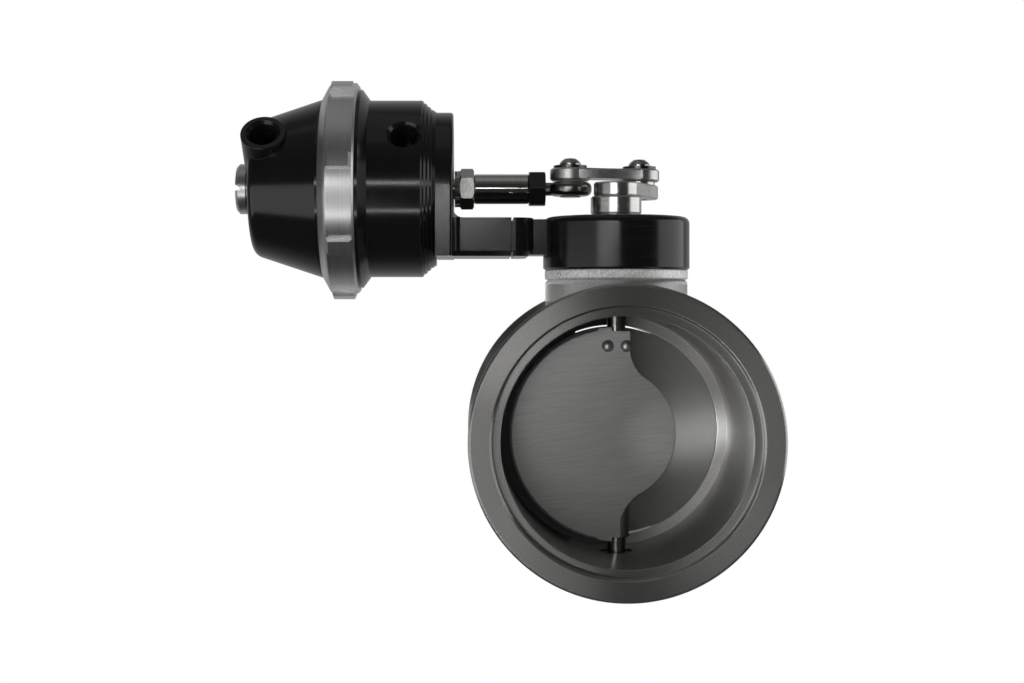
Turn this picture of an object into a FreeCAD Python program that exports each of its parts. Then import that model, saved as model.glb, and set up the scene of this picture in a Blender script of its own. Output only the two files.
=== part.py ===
import FreeCAD, Part
import math
import os

# A butterfly wastegate: a short V-band valve body with a plate on an upright shaft,
# driven by a spring and diaphragm actuator on a bracket. Millimetres, +Z up.
# The bore runs along Y, the shaft along Z, and the actuator lies towards -X.
# Each piece is drawn round the point where the shaft crosses the bore, and then placed
# with the origin at the centre of the inlet's face.

# Valve body
BODY_LENGTH = 60.0
PLATE_R = 25.45
FLANGE_STAND = 4.0
FLANGE_RIM = 3.2
FLANGE_TAPER = 3.4
REGISTER_STEP = 2.0
REGISTER_DEPTH = 1.6
REGISTER_CHAMFER = 0.4
BODY_WALL = 3.2
PLATE_BORE_GAP = 0.3
BORE_STEP = 2.45
SHOULDER_Y = 11.2
LEDGE_LAP = 0.85
LEDGE_THICK = 1.8
LEDGE_X = -9.0
NECK_R = 16.9
NECK_RISE = 5.3
FOOT_R = 8.0
FOOT_DROP = 3.2
SHAFT_HOLE_FROM = 20.0

# Shaft and its bearings
SHAFT_R = 4.0
STUB_R = 2.2
RUNNING_GAP = 0.04
BUSH_WALL = 2.2
BUSH_LENGTH = 8.0
FOOT_BUSH_WALL = 1.8
FOOT_BUSH_LENGTH = 4.6
PLUG_THICK = 1.6
SEAL_WALL = 2.8
SEAL_THICK = 4.0

# Valve plate
PLATE_FACE_Y = -2.9
PLATE_WEB = 4.6
PLATE_RIM_WALL = 4.6
PLATE_SEAT_GAP = 0.1
PLATE_EDGE_CHAMFER = 0.5
CONE_RIM_PROUD = 0.15
CONE_RIM_Y = 11.5
CONE_RIM_LENGTH = 1.1
SWEEP_SLOPE = 50.0
BULGE_X = -2.35
BULGE_MARGIN = 9.35
BULGE_INSET = 0.15
FLARE_TOP_R = 9.0
FLARE_BOTTOM_R = 12.0
PLATE_TOP_X = 3.1
PLATE_BOTTOM_X = 0.2
PLATE_NOTCH_DEPTH = 1.0
BARREL_R = 5.4
STUB_WALL_R = 3.0
PIN_SPREAD = 2.2
PIN_INSET = 4.55
PIN_HEAD_R = 1.45
PIN_R = 0.7
PIN_LENGTH = 3.4

# Spacer and bracket
SPACER_R = 17.0
SPACER_THICK = 2.2
HEAD_R = 17.4
HEAD_HEIGHT = 12.6
HEAD_FILLET = 1.6
ARM_LIFT = 3.2
ARM_HEIGHT = 9.0
ARM_FRONT_Y = -9.0
ARM_BACK_Y = 18.5
ARM_INNER_X = -20.0
ARM_CORNER_R = 4.2
ARM_WAIST_INSET = 4.5
ARM_CHAMFER = 1.2
ARM_FRONT_FILLET = 1.7
SPLIT_X = -25.2
SPLIT_WIDTH = 0.5
SPLIT_DEPTH = 0.8
DISC_R = 18.5
DISC_THICK = 4.1
DISC_RIGHT_X = -38.9
ARM_TOP_FILLET = 2.4
HEAD_SCREW_PITCH_R = 12.5
HEAD_SCREW_R = 2.0
HEAD_SCREW_HEAD_R = 3.5
HEAD_SCREW_HEAD = 4.0
HEAD_SCREW_GRIP = 5.8
SCREW_CLEARANCE = 0.2

# Actuator canister
AXIS_Y = 7.4
AXIS_LIFT = 16.7
NOSE_R = 18.6
CAN_R = 21.4
NOSE_LENGTH = 3.4
CAN_STRAIGHT = 12.5
CAN_FLANGE_R = 24.0
CAN_FLANGE_TAPER = 1.9
CAN_FLANGE = 0.8
SPIGOT_R = 22.6
SPIGOT_LENGTH = 4.6
CHAMBER_R = 18.6
CHAMBER_FLOOR = 2.0
WELL_GAP = 0.5
GROOVE_COUNT = 3
GROOVE_WIDTH = 0.35
GROOVE_DEPTH = 0.4
COLLAR_R = 25.4
COLLAR_LENGTH = 8.6
COLLAR_BEVEL = 2.1
COLLAR_CHAMFER = 0.5
COLLAR_RIB_HEIGHT = 1.6
COLLAR_RIB_ANGLE = 7.6
COLLAR_RIB_PLACES = (63.5, 11.0, -34.2, -79.0, -124.0, -169.0, 146.0, 105.0)
CAP_R = 21.5
CAP_END_R = 16.0
CAP_FLANGE = 1.2
CAP_STRAIGHT = 2.6
CAP_CONE = 16.5
CAP_WALL = 2.4
CAP_EDGE_FILLET = 2.8
END_PLUG_R = 6.1
END_PLUG_NECK_R = 5.0
END_PLUG_STUB_R = 4.0
END_PLUG_NECK = 1.5
END_PLUG_HEAD = 2.5
END_PLUG_SLOT = 1.4
CAP_PORT_ANGLE = 38.5
BODY_PORT_ANGLE = 33.0
PORT_R = 3.4
BODY_PORT_DEPTH = 8.0
CAP_PORT_DEPTH = 6.0
PORT_CHAMFER = 0.7
CAP_PORT_X = -83.3
CAP_BOSS_R = 5.4
CAP_BOSS_REACH = 19.6
CAP_BOSS_START = 6.4
BODY_PORT_X = -50.1
BODY_PORT_FACE = 21.2
BLEED_R = 1.3
BLEED_RADIUS = 13.6
DISC_SCREW_PITCH_R = 12.6
DISC_SCREW_R = 2.0
DISC_SCREW_HEAD_R = 3.6
DISC_SCREW_LENGTH = 9.0

# Rod line
ROD_R = 3.0
ROD_THREAD_R = 2.5
ROD_SHOULDER_X = -39.0
ROD_TRAVEL = 14.42
GUIDE_WALL = 2.2
GUIDE_LENGTH = 3.8
WELL_R = 5.6
ROD_SEAL_WALL = 1.6
PISTON_R = 15.5
PISTON_THICK = 2.6
PISTON_GAP = 0.9
MEMBRANE = 0.8
SEAT_PLATE_R = 13.6
SEAT_PLATE = 1.3
PISTON_NUT_AF = 8.0
PISTON_NUT = 2.8
TOOTH_WASHER_R = 4.4
TOOTH_WASHER = 1.3
TOOTH_COUNT = 12
TOOTH_DEPTH = 0.6
LOCK_NUT_X = -37.3
LOCK_NUT_AF = 8.6
LOCK_NUT = 3.4
SLEEVE_R = 3.62
SLEEVE_LENGTH = 13.3
END_NUT_AF = 8.0
END_NUT = 4.0
SHANK_R = 1.6
EYE_X = -10.5
EYE_R = 5.2
EYE_THICK = 3.4
EYE_ROUND = 1.4
BALL_R = 3.2
BALL_NECK_R = 2.3
BALL_PROUD = 0.05
LINK_GAP = 0.25
OUTER_SPRING_R = 11.6
INNER_SPRING_R = 7.4
SPRING_WIRE_R = 0.75
SPRING_WIRE_SIDES = 8
SPRING_TURNS = 4

# Lever and link above the bracket
THRUST_R = 6.6
THRUST_THICK = 0.6
THRUST_GAP = 0.1
SHAFT_COLLAR_R = 6.05
SHAFT_COLLAR = 4.3
GRUB_R = 1.2
LEVER_THICK = 3.4
LEVER_HUB_R = 5.3
LEVER_END_R = 4.6
PIVOT_X = 6.7
PIVOT_Y = 11.5
LEVER_SCREW_R = 1.6
LEVER_SCREW_HEAD_R = 2.9
LEVER_SCREW_LENGTH = 7.0
LINK_THICK = 3.0
LINK_WEB_STEP = 0.55
LINK_END_R = 4.9
LINK_WAIST_R = 26.0
LINK_EDGE = 0.4
PIVOT_SCREW_R = 2.0
WASHER_R = 4.05
WASHER_THICK = 0.7
BUTTON_R = 2.6
BUTTON_HEIGHT = 2.0
FLOAT_GAP = 0.05

# Places worked out from the sizes above
FACE_Y = -BODY_LENGTH / 2
REAR_BORE_R = PLATE_R + PLATE_BORE_GAP
FRONT_BORE_R = REAR_BORE_R + BORE_STEP
REGISTER_R = FRONT_BORE_R + REGISTER_STEP
WAIST_R = FRONT_BORE_R + BODY_WALL
FLANGE_R = WAIST_R + FLANGE_STAND
LEDGE_R = PLATE_R - LEDGE_LAP
NECK_TOP = WAIST_R + NECK_RISE
FOOT_BOTTOM = -WAIST_R - FOOT_DROP
CONE_RIM_R = PLATE_R + CONE_RIM_PROUD
PIN_Z = PLATE_R - PIN_INSET
BULGE_R = PLATE_R - BULGE_MARGIN
PLATE_BACK_Y = SHOULDER_Y - PLATE_SEAT_GAP
SPACER_TOP = NECK_TOP + SPACER_THICK
HEAD_TOP = SPACER_TOP + HEAD_HEIGHT
ARM_BOTTOM = SPACER_TOP + ARM_LIFT
ARM_TOP = ARM_BOTTOM + ARM_HEIGHT
AXIS_Z = ARM_BOTTOM + AXIS_LIFT
COLLAR_RIB_R = COLLAR_R + COLLAR_RIB_HEIGHT
COLLAR_BOTTOM = HEAD_TOP + THRUST_THICK + THRUST_GAP
LEVER_BOTTOM = COLLAR_BOTTOM + SHAFT_COLLAR
LEVER_TOP = LEVER_BOTTOM + LEVER_THICK
SHAFT_TOP = LEVER_TOP - LEVER_SCREW_HEAD_R + LEVER_SCREW_R
EYE_TOP = AXIS_Z + EYE_THICK / 2
BALL_TOP = EYE_TOP + BALL_PROUD
LINK_BOTTOM = max(LEVER_TOP, BALL_TOP) + LINK_GAP
LINK_TOP = LINK_BOTTOM + LINK_THICK
NOSE_X = DISC_RIGHT_X - DISC_THICK
CAN_LEFT_X = NOSE_X - NOSE_LENGTH - CAN_STRAIGHT
FLANGE_FACE_X = CAN_LEFT_X - CAN_FLANGE_TAPER - CAN_FLANGE
SPIGOT_X = FLANGE_FACE_X - SPIGOT_LENGTH
MEMBRANE_X = SPIGOT_X - MEMBRANE
CAP_FLANGE_X = MEMBRANE_X - CAP_FLANGE
CAP_CONE_X = CAP_FLANGE_X - CAP_STRAIGHT
CAP_END_X = CAP_CONE_X - CAP_CONE
CHAMBER_FLOOR_X = FLANGE_FACE_X + CHAMBER_FLOOR
WELL_FLOOR_X = LOCK_NUT_X - TOOTH_WASHER - ROD_TRAVEL - WELL_GAP
PISTON_RIGHT_X = CHAMBER_FLOOR_X - PISTON_GAP
PISTON_LEFT_X = PISTON_RIGHT_X - PISTON_THICK
SEAT_X = PISTON_LEFT_X - MEMBRANE
SEAT_LEFT_X = SEAT_X - SEAT_PLATE
SLEEVE_X = LOCK_NUT_X + LOCK_NUT
END_NUT_X = SLEEVE_X + SLEEVE_LENGTH
SHANK_X = END_NUT_X + END_NUT

AXIS_X_DIR = FreeCAD.Vector(1, 0, 0)
AXIS_Y_DIR = FreeCAD.Vector(0, 1, 0)
AXIS_Z_DIR = FreeCAD.Vector(0, 0, 1)


def vec(x, y, z):
    return FreeCAD.Vector(x, y, z)


def rod_x(radius, x_from, x_to, y=AXIS_Y, z=AXIS_Z):
    """A cylinder along X between two places, on the actuator's axis by default."""
    return Part.makeCylinder(radius, x_to - x_from, vec(x_from, y, z), AXIS_X_DIR)


def rod_y(radius, y_from, y_to, x=0.0, z=0.0):
    return Part.makeCylinder(radius, y_to - y_from, vec(x, y_from, z), AXIS_Y_DIR)


def rod_z(radius, z_from, z_to, x=0.0, y=0.0):
    return Part.makeCylinder(radius, z_to - z_from, vec(x, y, z_from), AXIS_Z_DIR)


def box(x_from, x_to, y_from, y_to, z_from, z_to):
    return Part.makeBox(x_to - x_from, y_to - y_from, z_to - z_from, vec(x_from, y_from, z_from))


def revolve(points, origin, direction):
    """Turns a closed outline of points once round an axis."""
    wire = Part.makePolygon(points + [points[0]])
    return Part.Face(wire).revolve(origin, direction, 360)


def turned_on_bore(outline):
    """Turns an outline of (radius, y) pairs round the bore's axis."""
    return revolve([vec(radius, y, 0) for radius, y in outline], vec(0, 0, 0), AXIS_Y_DIR)


def turned_on_rod(outline):
    """Turns an outline of (x, radius) pairs round the actuator's axis."""
    points = [vec(x, AXIS_Y, AXIS_Z + radius) for x, radius in outline]
    return revolve(points, vec(0, AXIS_Y, AXIS_Z), AXIS_X_DIR)


def edges_where(shape, test):
    return [edge for edge in shape.Edges if test(edge)]


def on_circle(edge, radius, axis, place, tolerance=0.02):
    """True for a round edge of this radius whose centre lies at a place along an axis."""
    curve = edge.Curve
    if not isinstance(curve, Part.Circle):
        return False
    centre = (curve.Center.x, curve.Center.y, curve.Center.z)[axis]
    return abs(curve.Radius - radius) < tolerance and abs(centre - place) < tolerance


def hexagon_x(across_flats, x_from, x_to, turn=90):
    """A hexagonal nut blank along the actuator's axis with turned corners."""
    corner_r = across_flats / math.sqrt(3)
    corners = []
    for step in range(7):
        angle = math.radians(60 * step + turn)
        corners.append(vec(x_from, AXIS_Y + corner_r * math.cos(angle), AXIS_Z + corner_r * math.sin(angle)))
    blank = Part.Face(Part.makePolygon(corners)).extrude(vec(x_to - x_from, 0, 0))
    slope = 0.12 * across_flats * 0.58
    limit = turned_on_rod([(x_from, 0), (x_from, corner_r - slope), (x_from + slope * 0.6, corner_r + 0.02),
                           (x_to - slope * 0.6, corner_r + 0.02), (x_to, corner_r - slope), (x_to, 0)])
    return blank.common(limit)


def hex_key(x, y, z_top, depth, radius):
    corners = []
    for step in range(7):
        angle = math.radians(60 * step)
        corners.append(vec(x + radius * math.cos(angle), y + radius * math.sin(angle), z_top - depth))
    return Part.Face(Part.makePolygon(corners)).extrude(vec(0, 0, depth + 0.1))


def port_direction(angle):
    """The way out of a port: forwards and up, at an angle above the horizontal."""
    return vec(0, -math.cos(math.radians(angle)), math.sin(math.radians(angle)))


def port_point(x, angle, reach):
    return vec(x, AXIS_Y, AXIS_Z) + port_direction(angle) * reach


def port_cylinder(radius, x, angle, reach_from, reach_to):
    return Part.makeCylinder(radius, reach_to - reach_from, port_point(x, angle, reach_from), port_direction(angle))


def port_hole(x, angle, face_reach, depth):
    """A threaded port's hole with a countersunk mouth."""
    hole = port_cylinder(PORT_R, x, angle, face_reach - depth, face_reach + PORT_R)
    mouth = Part.makeCone(PORT_R, PORT_R + 2 * PORT_CHAMFER, 2 * PORT_CHAMFER,
                          port_point(x, angle, face_reach - PORT_CHAMFER), port_direction(angle))
    return hole.fuse(mouth)


def head_screw_places():
    places = []
    for step in range(4):
        angle = math.radians(45 + 90 * step)
        places.append((HEAD_SCREW_PITCH_R * math.cos(angle), HEAD_SCREW_PITCH_R * math.sin(angle)))
    return places


def disc_screw_places():
    places = []
    for step in range(3):
        angle = math.radians(90 + 120 * step)
        places.append((AXIS_Y + DISC_SCREW_PITCH_R * math.cos(angle),
                       AXIS_Z + DISC_SCREW_PITCH_R * math.sin(angle)))
    return places


def make_valve_body():
    """The turned casting: two V-band flanges, a stepped bore, a neck above and a foot below."""
    outline = []
    for side in (-1, 1):
        face = side * BODY_LENGTH / 2
        rim = face - side * FLANGE_RIM
        root = rim - side * FLANGE_TAPER
        stretch = [(0.0, face), (FLANGE_R - 0.5, face), (FLANGE_R, face - side * 0.5), (FLANGE_R, rim),
                   (WAIST_R, root)]
        outline += stretch if side < 0 else stretch[::-1]
    body = turned_on_bore(outline)
    neck = rod_z(NECK_R, 0, NECK_TOP)
    neck = neck.makeFillet(1.2, edges_where(neck, lambda e: on_circle(e, NECK_R, 2, NECK_TOP)))
    foot = rod_z(FOOT_R, FOOT_BOTTOM, 0)
    body = body.fuse(neck).fuse(foot)
    body = body.cut(rod_y(REAR_BORE_R, SHOULDER_Y - 1, -FACE_Y + 1))
    body = body.cut(rod_y(FRONT_BORE_R, FACE_Y - 1, SHOULDER_Y))
    for side in (-1, 1):
        face = side * BODY_LENGTH / 2
        mouth = Part.makeCone(REGISTER_R + REGISTER_CHAMFER, REGISTER_R, REGISTER_CHAMFER, vec(0, face, 0),
                              AXIS_Y_DIR * -side)
        deep = face - side * REGISTER_DEPTH
        body = body.cut(mouth).cut(rod_y(REGISTER_R, min(face, deep), max(face, deep)))
    ledge = turned_on_bore([(LEDGE_R, SHOULDER_Y), (REAR_BORE_R + 0.5, SHOULDER_Y),
                            (REAR_BORE_R + 0.5, SHOULDER_Y + LEDGE_THICK), (LEDGE_R, SHOULDER_Y + LEDGE_THICK)])
    ledge = ledge.common(box(-FLANGE_R, LEDGE_X, FACE_Y, -FACE_Y, -FLANGE_R, FLANGE_R))
    body = body.fuse(ledge)
    body = body.cut(rod_z(SHAFT_R + BUSH_WALL, NECK_TOP - BUSH_LENGTH, NECK_TOP + 1))
    body = body.cut(rod_z(SHAFT_R + 0.3, SHAFT_HOLE_FROM, NECK_TOP))
    body = body.cut(rod_z(STUB_R + FOOT_BUSH_WALL, FOOT_BOTTOM - 1, -SHAFT_HOLE_FROM))
    for x, y in head_screw_places():
        body = body.cut(rod_z(HEAD_SCREW_R, NECK_TOP - HEAD_SCREW_GRIP - 0.6, NECK_TOP + 1, x, y))
    return body.removeSplitter()


def make_upper_bush():
    bottom = NECK_TOP - BUSH_LENGTH
    return rod_z(SHAFT_R + BUSH_WALL, bottom, NECK_TOP).cut(rod_z(SHAFT_R + RUNNING_GAP, bottom - 1, NECK_TOP + 1))


def foot_bush_span():
    bottom = FOOT_BOTTOM + PLUG_THICK
    return bottom, bottom + FOOT_BUSH_LENGTH


def make_lower_bush():
    bottom, top = foot_bush_span()
    return rod_z(STUB_R + FOOT_BUSH_WALL, bottom, top).cut(rod_z(STUB_R + RUNNING_GAP, bottom - 1, top + 1))


def make_lower_plug():
    bottom = foot_bush_span()[0]
    plug = rod_z(STUB_R + FOOT_BUSH_WALL, FOOT_BOTTOM, bottom)
    slot = box(-FOOT_R, FOOT_R, -0.5, 0.5, FOOT_BOTTOM - 1, FOOT_BOTTOM + 0.7)
    return plug.cut(slot)


def make_insulating_spacer():
    spacer = rod_z(SPACER_R, NECK_TOP, SPACER_TOP).cut(rod_z(SHAFT_R + 0.5, NECK_TOP - 1, SPACER_TOP + 1))
    for x, y in head_screw_places():
        spacer = spacer.cut(rod_z(HEAD_SCREW_R + SCREW_CLEARANCE, NECK_TOP - 1, SPACER_TOP + 1, x, y))
    edges = edges_where(spacer, lambda e: on_circle(e, SPACER_R, 2, SPACER_TOP) or on_circle(e, SPACER_R, 2, NECK_TOP))
    return spacer.makeChamfer(0.25, edges)


def arm_blank():
    """The arm between the head and the plate, with a rounded shoulder and a narrower waist at the head."""
    block = box(NOSE_X, ARM_INNER_X, ARM_FRONT_Y, ARM_BACK_Y, ARM_BOTTOM, ARM_TOP)

    def upright_at_inner_end(edge):
        box_of = edge.BoundBox
        return box_of.ZLength > 5 and abs(box_of.XMin - ARM_INNER_X) < 0.01

    def low_front(edge):
        box_of = edge.BoundBox
        return box_of.XLength > 5 and abs(box_of.YMin - ARM_FRONT_Y) < 0.01 and abs(box_of.ZMax - ARM_BOTTOM) < 0.01

    block = block.makeFillet(ARM_CORNER_R, edges_where(block, upright_at_inner_end))
    block = block.makeChamfer(ARM_CHAMFER, edges_where(block, low_front))
    waist = box(ARM_INNER_X - 2, 0, ARM_FRONT_Y + ARM_WAIST_INSET, ARM_BACK_Y - 2 * ARM_WAIST_INSET,
                ARM_BOTTOM + 0.4, ARM_TOP - 0.2)
    return block.fuse(waist)


def carrier_plate():
    """The round-topped plate that the actuator bolts to, square below to meet the arm."""
    plate = rod_x(DISC_R, NOSE_X, DISC_RIGHT_X)
    foot = box(NOSE_X, DISC_RIGHT_X, AXIS_Y - DISC_R, AXIS_Y + DISC_R, ARM_BOTTOM, AXIS_Z)
    plate = plate.fuse(foot).common(box(NOSE_X, DISC_RIGHT_X, -FLANGE_R, FLANGE_R, ARM_BOTTOM, AXIS_Z + DISC_R + 1))
    plate = plate.removeSplitter()
    rims = edges_where(plate, lambda e: e.BoundBox.XLength < 0.01 and abs(e.BoundBox.XMin - DISC_RIGHT_X) < 0.01
                       and e.BoundBox.ZMax > ARM_BOTTOM + 1)
    return plate.makeFillet(0.7, rims)


def arm_fillets():
    """The hollow fillets between the plate and the arm, above it and at its front."""
    above = box(DISC_RIGHT_X, DISC_RIGHT_X + ARM_TOP_FILLET, ARM_FRONT_Y, ARM_BACK_Y, ARM_TOP, ARM_TOP + ARM_TOP_FILLET)
    above = above.cut(rod_y(ARM_TOP_FILLET, ARM_FRONT_Y - 1, ARM_BACK_Y + 1, DISC_RIGHT_X + ARM_TOP_FILLET,
                            ARM_TOP + ARM_TOP_FILLET))
    front = box(DISC_RIGHT_X, DISC_RIGHT_X + ARM_FRONT_FILLET, ARM_FRONT_Y - ARM_FRONT_FILLET, ARM_FRONT_Y,
                ARM_BOTTOM + ARM_CHAMFER, ARM_TOP)
    front = front.cut(rod_z(ARM_FRONT_FILLET, ARM_BOTTOM, ARM_TOP + 1, DISC_RIGHT_X + ARM_FRONT_FILLET,
                            ARM_FRONT_Y - ARM_FRONT_FILLET))
    return above.fuse(front)


def make_bracket():
    """A round head on the neck, an arm and the plate that carries the actuator."""
    head = rod_z(HEAD_R, SPACER_TOP, HEAD_TOP)
    head = head.makeFillet(HEAD_FILLET, edges_where(head, lambda e: on_circle(e, HEAD_R, 2, HEAD_TOP)))
    head = head.makeChamfer(0.5, edges_where(head, lambda e: on_circle(e, HEAD_R, 2, SPACER_TOP)))
    bracket = head.fuse(arm_blank()).fuse(carrier_plate()).fuse(arm_fillets())
    groove = box(SPLIT_X, SPLIT_X + SPLIT_WIDTH, ARM_FRONT_Y - 1, ARM_BACK_Y + 1, ARM_BOTTOM - 1, ARM_TOP + 1)
    core = box(SPLIT_X - 1, SPLIT_X + 2, ARM_FRONT_Y + SPLIT_DEPTH, ARM_BACK_Y - SPLIT_DEPTH,
               ARM_BOTTOM + SPLIT_DEPTH, ARM_TOP - SPLIT_DEPTH)
    bracket = bracket.cut(groove.cut(core))
    bracket = bracket.cut(rod_z(SHAFT_R + 0.6, SPACER_TOP - 1, HEAD_TOP + 1))
    bracket = bracket.cut(rod_z(SHAFT_R + SEAL_WALL, HEAD_TOP - SEAL_THICK, HEAD_TOP + 1))
    for x, y in head_screw_places():
        bracket = bracket.cut(rod_z(HEAD_SCREW_R + SCREW_CLEARANCE, SPACER_TOP - 1, HEAD_TOP + 1, x, y))
        seat = HEAD_TOP - HEAD_SCREW_HEAD - 0.4
        bracket = bracket.cut(rod_z(HEAD_SCREW_HEAD_R + SCREW_CLEARANCE, seat, HEAD_TOP + 1, x, y))
    bracket = bracket.cut(rod_x(WELL_R, NOSE_X - 1, DISC_RIGHT_X + 1))
    for y, z in disc_screw_places():
        bracket = bracket.cut(rod_x(DISC_SCREW_R + SCREW_CLEARANCE, NOSE_X - 1, DISC_RIGHT_X + 1, y, z))
        sink = Part.makeCone(DISC_SCREW_R, DISC_SCREW_HEAD_R, DISC_SCREW_HEAD_R - DISC_SCREW_R,
                             vec(DISC_RIGHT_X - DISC_SCREW_HEAD_R + DISC_SCREW_R, y, z), AXIS_X_DIR)
        bracket = bracket.cut(sink)
    return bracket.removeSplitter()


def make_head_screws():
    screws = []
    seat = HEAD_TOP - HEAD_SCREW_HEAD - 0.4
    for x, y in head_screw_places():
        screw = rod_z(HEAD_SCREW_HEAD_R, seat, seat + HEAD_SCREW_HEAD, x, y)
        screw = screw.fuse(rod_z(HEAD_SCREW_R, NECK_TOP - HEAD_SCREW_GRIP, seat, x, y))
        screws.append(screw.cut(hex_key(x, y, seat + HEAD_SCREW_HEAD, 2.0, 1.8)))
    return Part.makeCompound(screws)


def make_disc_screws():
    screws = []
    depth = DISC_SCREW_HEAD_R - DISC_SCREW_R
    for y, z in disc_screw_places():
        head = Part.makeCone(DISC_SCREW_R, DISC_SCREW_HEAD_R, depth, vec(DISC_RIGHT_X - depth, y, z), AXIS_X_DIR)
        shank = rod_x(DISC_SCREW_R, DISC_RIGHT_X - DISC_SCREW_LENGTH, DISC_RIGHT_X - depth, y, z)
        socket = rod_x(1.2, DISC_RIGHT_X - 1.2, DISC_RIGHT_X + 1, y, z)
        screws.append(head.fuse(shank).cut(socket))
    return Part.makeCompound(screws)


def make_shaft_seal():
    bottom = HEAD_TOP - SEAL_THICK
    return rod_z(SHAFT_R + SEAL_WALL, bottom, HEAD_TOP).cut(rod_z(SHAFT_R + RUNNING_GAP, bottom - 1, HEAD_TOP + 1))


def make_thrust_washer():
    ring = rod_z(THRUST_R, HEAD_TOP, HEAD_TOP + THRUST_THICK)
    return ring.cut(rod_z(SHAFT_R + RUNNING_GAP, HEAD_TOP - 1, HEAD_TOP + 2))


def make_actuator_body():
    """The block that guides the rod: a grooved nose, a port, a flange and a threaded spigot."""
    outline = [(NOSE_X, 0), (NOSE_X, NOSE_R), (NOSE_X - 0.8, NOSE_R + 0.5), (NOSE_X - NOSE_LENGTH, CAN_R),
               (CAN_LEFT_X, CAN_R), (CAN_LEFT_X - CAN_FLANGE_TAPER, CAN_FLANGE_R), (FLANGE_FACE_X, CAN_FLANGE_R),
               (FLANGE_FACE_X, SPIGOT_R), (SPIGOT_X, SPIGOT_R), (SPIGOT_X, 0)]
    body = turned_on_rod(outline)
    body = body.cut(rod_x(CHAMBER_R, SPIGOT_X - 1, CHAMBER_FLOOR_X))
    body = body.cut(rod_x(WELL_R, WELL_FLOOR_X, NOSE_X + 1))
    body = body.cut(rod_x(ROD_R + GUIDE_WALL, CHAMBER_FLOOR_X - 1, WELL_FLOOR_X + 1))
    for step in range(GROOVE_COUNT):
        share = (step + 0.6) / GROOVE_COUNT
        x = NOSE_X - 0.8 - share * (NOSE_LENGTH - 0.8)
        radius = NOSE_R + 0.5 + share * (CAN_R - NOSE_R - 0.5)
        ring = rod_x(CAN_R + 1, x, x + GROOVE_WIDTH).cut(rod_x(radius - GROOVE_DEPTH, x - 1, x + 1))
        body = body.cut(ring)
    body = body.cut(port_hole(BODY_PORT_X, BODY_PORT_ANGLE, BODY_PORT_FACE, BODY_PORT_DEPTH))
    bleed = Part.makeCylinder(BLEED_R, BODY_PORT_X - CHAMBER_FLOOR_X + 0.5,
                              port_point(CHAMBER_FLOOR_X - 0.5, BODY_PORT_ANGLE, BLEED_RADIUS), AXIS_X_DIR)
    body = body.cut(bleed)
    for y, z in disc_screw_places():
        body = body.cut(rod_x(DISC_SCREW_R, DISC_RIGHT_X - DISC_SCREW_LENGTH - 0.6, NOSE_X + 1, y, z))
    return body.removeSplitter()


def make_guide_bush():
    right = WELL_FLOOR_X
    bush = rod_x(ROD_R + GUIDE_WALL, right - GUIDE_LENGTH, right)
    return bush.cut(rod_x(ROD_R + RUNNING_GAP, right - GUIDE_LENGTH - 1, right + 1))


def make_rod_seal():
    left = CHAMBER_FLOOR_X + 0.4
    seal = rod_x(ROD_R + ROD_SEAL_WALL, left, left + 1.4)
    return seal.cut(rod_x(ROD_R + RUNNING_GAP, left - 1, left + 3))


def make_diaphragm():
    """The moulded membrane: a clamped bead, one rolled fold and the flat that the piston holds."""
    bead_r = CHAMBER_R - 0.1
    fold_r = (bead_r + PISTON_R) / 2
    fold_x = SPIGOT_X - 3.2
    outline = [(SPIGOT_X, SPIGOT_R - 0.3), (SPIGOT_X, bead_r), (fold_x + MEMBRANE, fold_r + 0.3),
               (fold_x + MEMBRANE, fold_r - 0.3), (PISTON_LEFT_X, PISTON_R - 0.6), (PISTON_LEFT_X, ROD_THREAD_R),
               (SEAT_X, ROD_THREAD_R), (SEAT_X, PISTON_R - 1.2), (fold_x, fold_r - 0.8), (fold_x, fold_r + 0.8),
               (MEMBRANE_X, bead_r - 0.1), (MEMBRANE_X, SPIGOT_R - 0.3)]
    return turned_on_rod(outline)


def make_cap():
    """The tapered spring cover with a port boss standing out at its far end."""
    wall = CAP_WALL
    outer = [(MEMBRANE_X, 0), (MEMBRANE_X, SPIGOT_R - 0.2), (CAP_FLANGE_X, SPIGOT_R - 0.2), (CAP_FLANGE_X, CAP_R),
             (CAP_CONE_X, CAP_R), (CAP_END_X, CAP_END_R), (CAP_END_X, 0)]
    cap = turned_on_rod(outer)
    cap = cap.makeFillet(CAP_EDGE_FILLET, edges_where(cap, lambda e: on_circle(e, CAP_END_R, 0, CAP_END_X)))
    boss = port_cylinder(CAP_BOSS_R, CAP_PORT_X, CAP_PORT_ANGLE, CAP_BOSS_START, CAP_BOSS_REACH)
    boss = boss.makeFillet(0.4, [edge for edge in boss.Edges if edge.BoundBox.Center.sub(
        port_point(CAP_PORT_X, CAP_PORT_ANGLE, CAP_BOSS_REACH)).Length < 0.5])
    cap = cap.fuse(boss)
    inner = [(MEMBRANE_X + 1, 0), (MEMBRANE_X + 1, CAP_R - wall + 0.5), (CAP_CONE_X, CAP_R - wall),
             (CAP_END_X + wall, CAP_END_R - wall), (CAP_END_X + wall, 0)]
    cap = cap.cut(turned_on_rod(inner))
    cap = cap.cut(port_hole(CAP_PORT_X, CAP_PORT_ANGLE, CAP_BOSS_REACH, CAP_PORT_DEPTH))
    cap = cap.cut(rod_x(END_PLUG_STUB_R, CAP_END_X - 1, CAP_END_X + wall + 1))
    return cap.removeSplitter()


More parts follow.
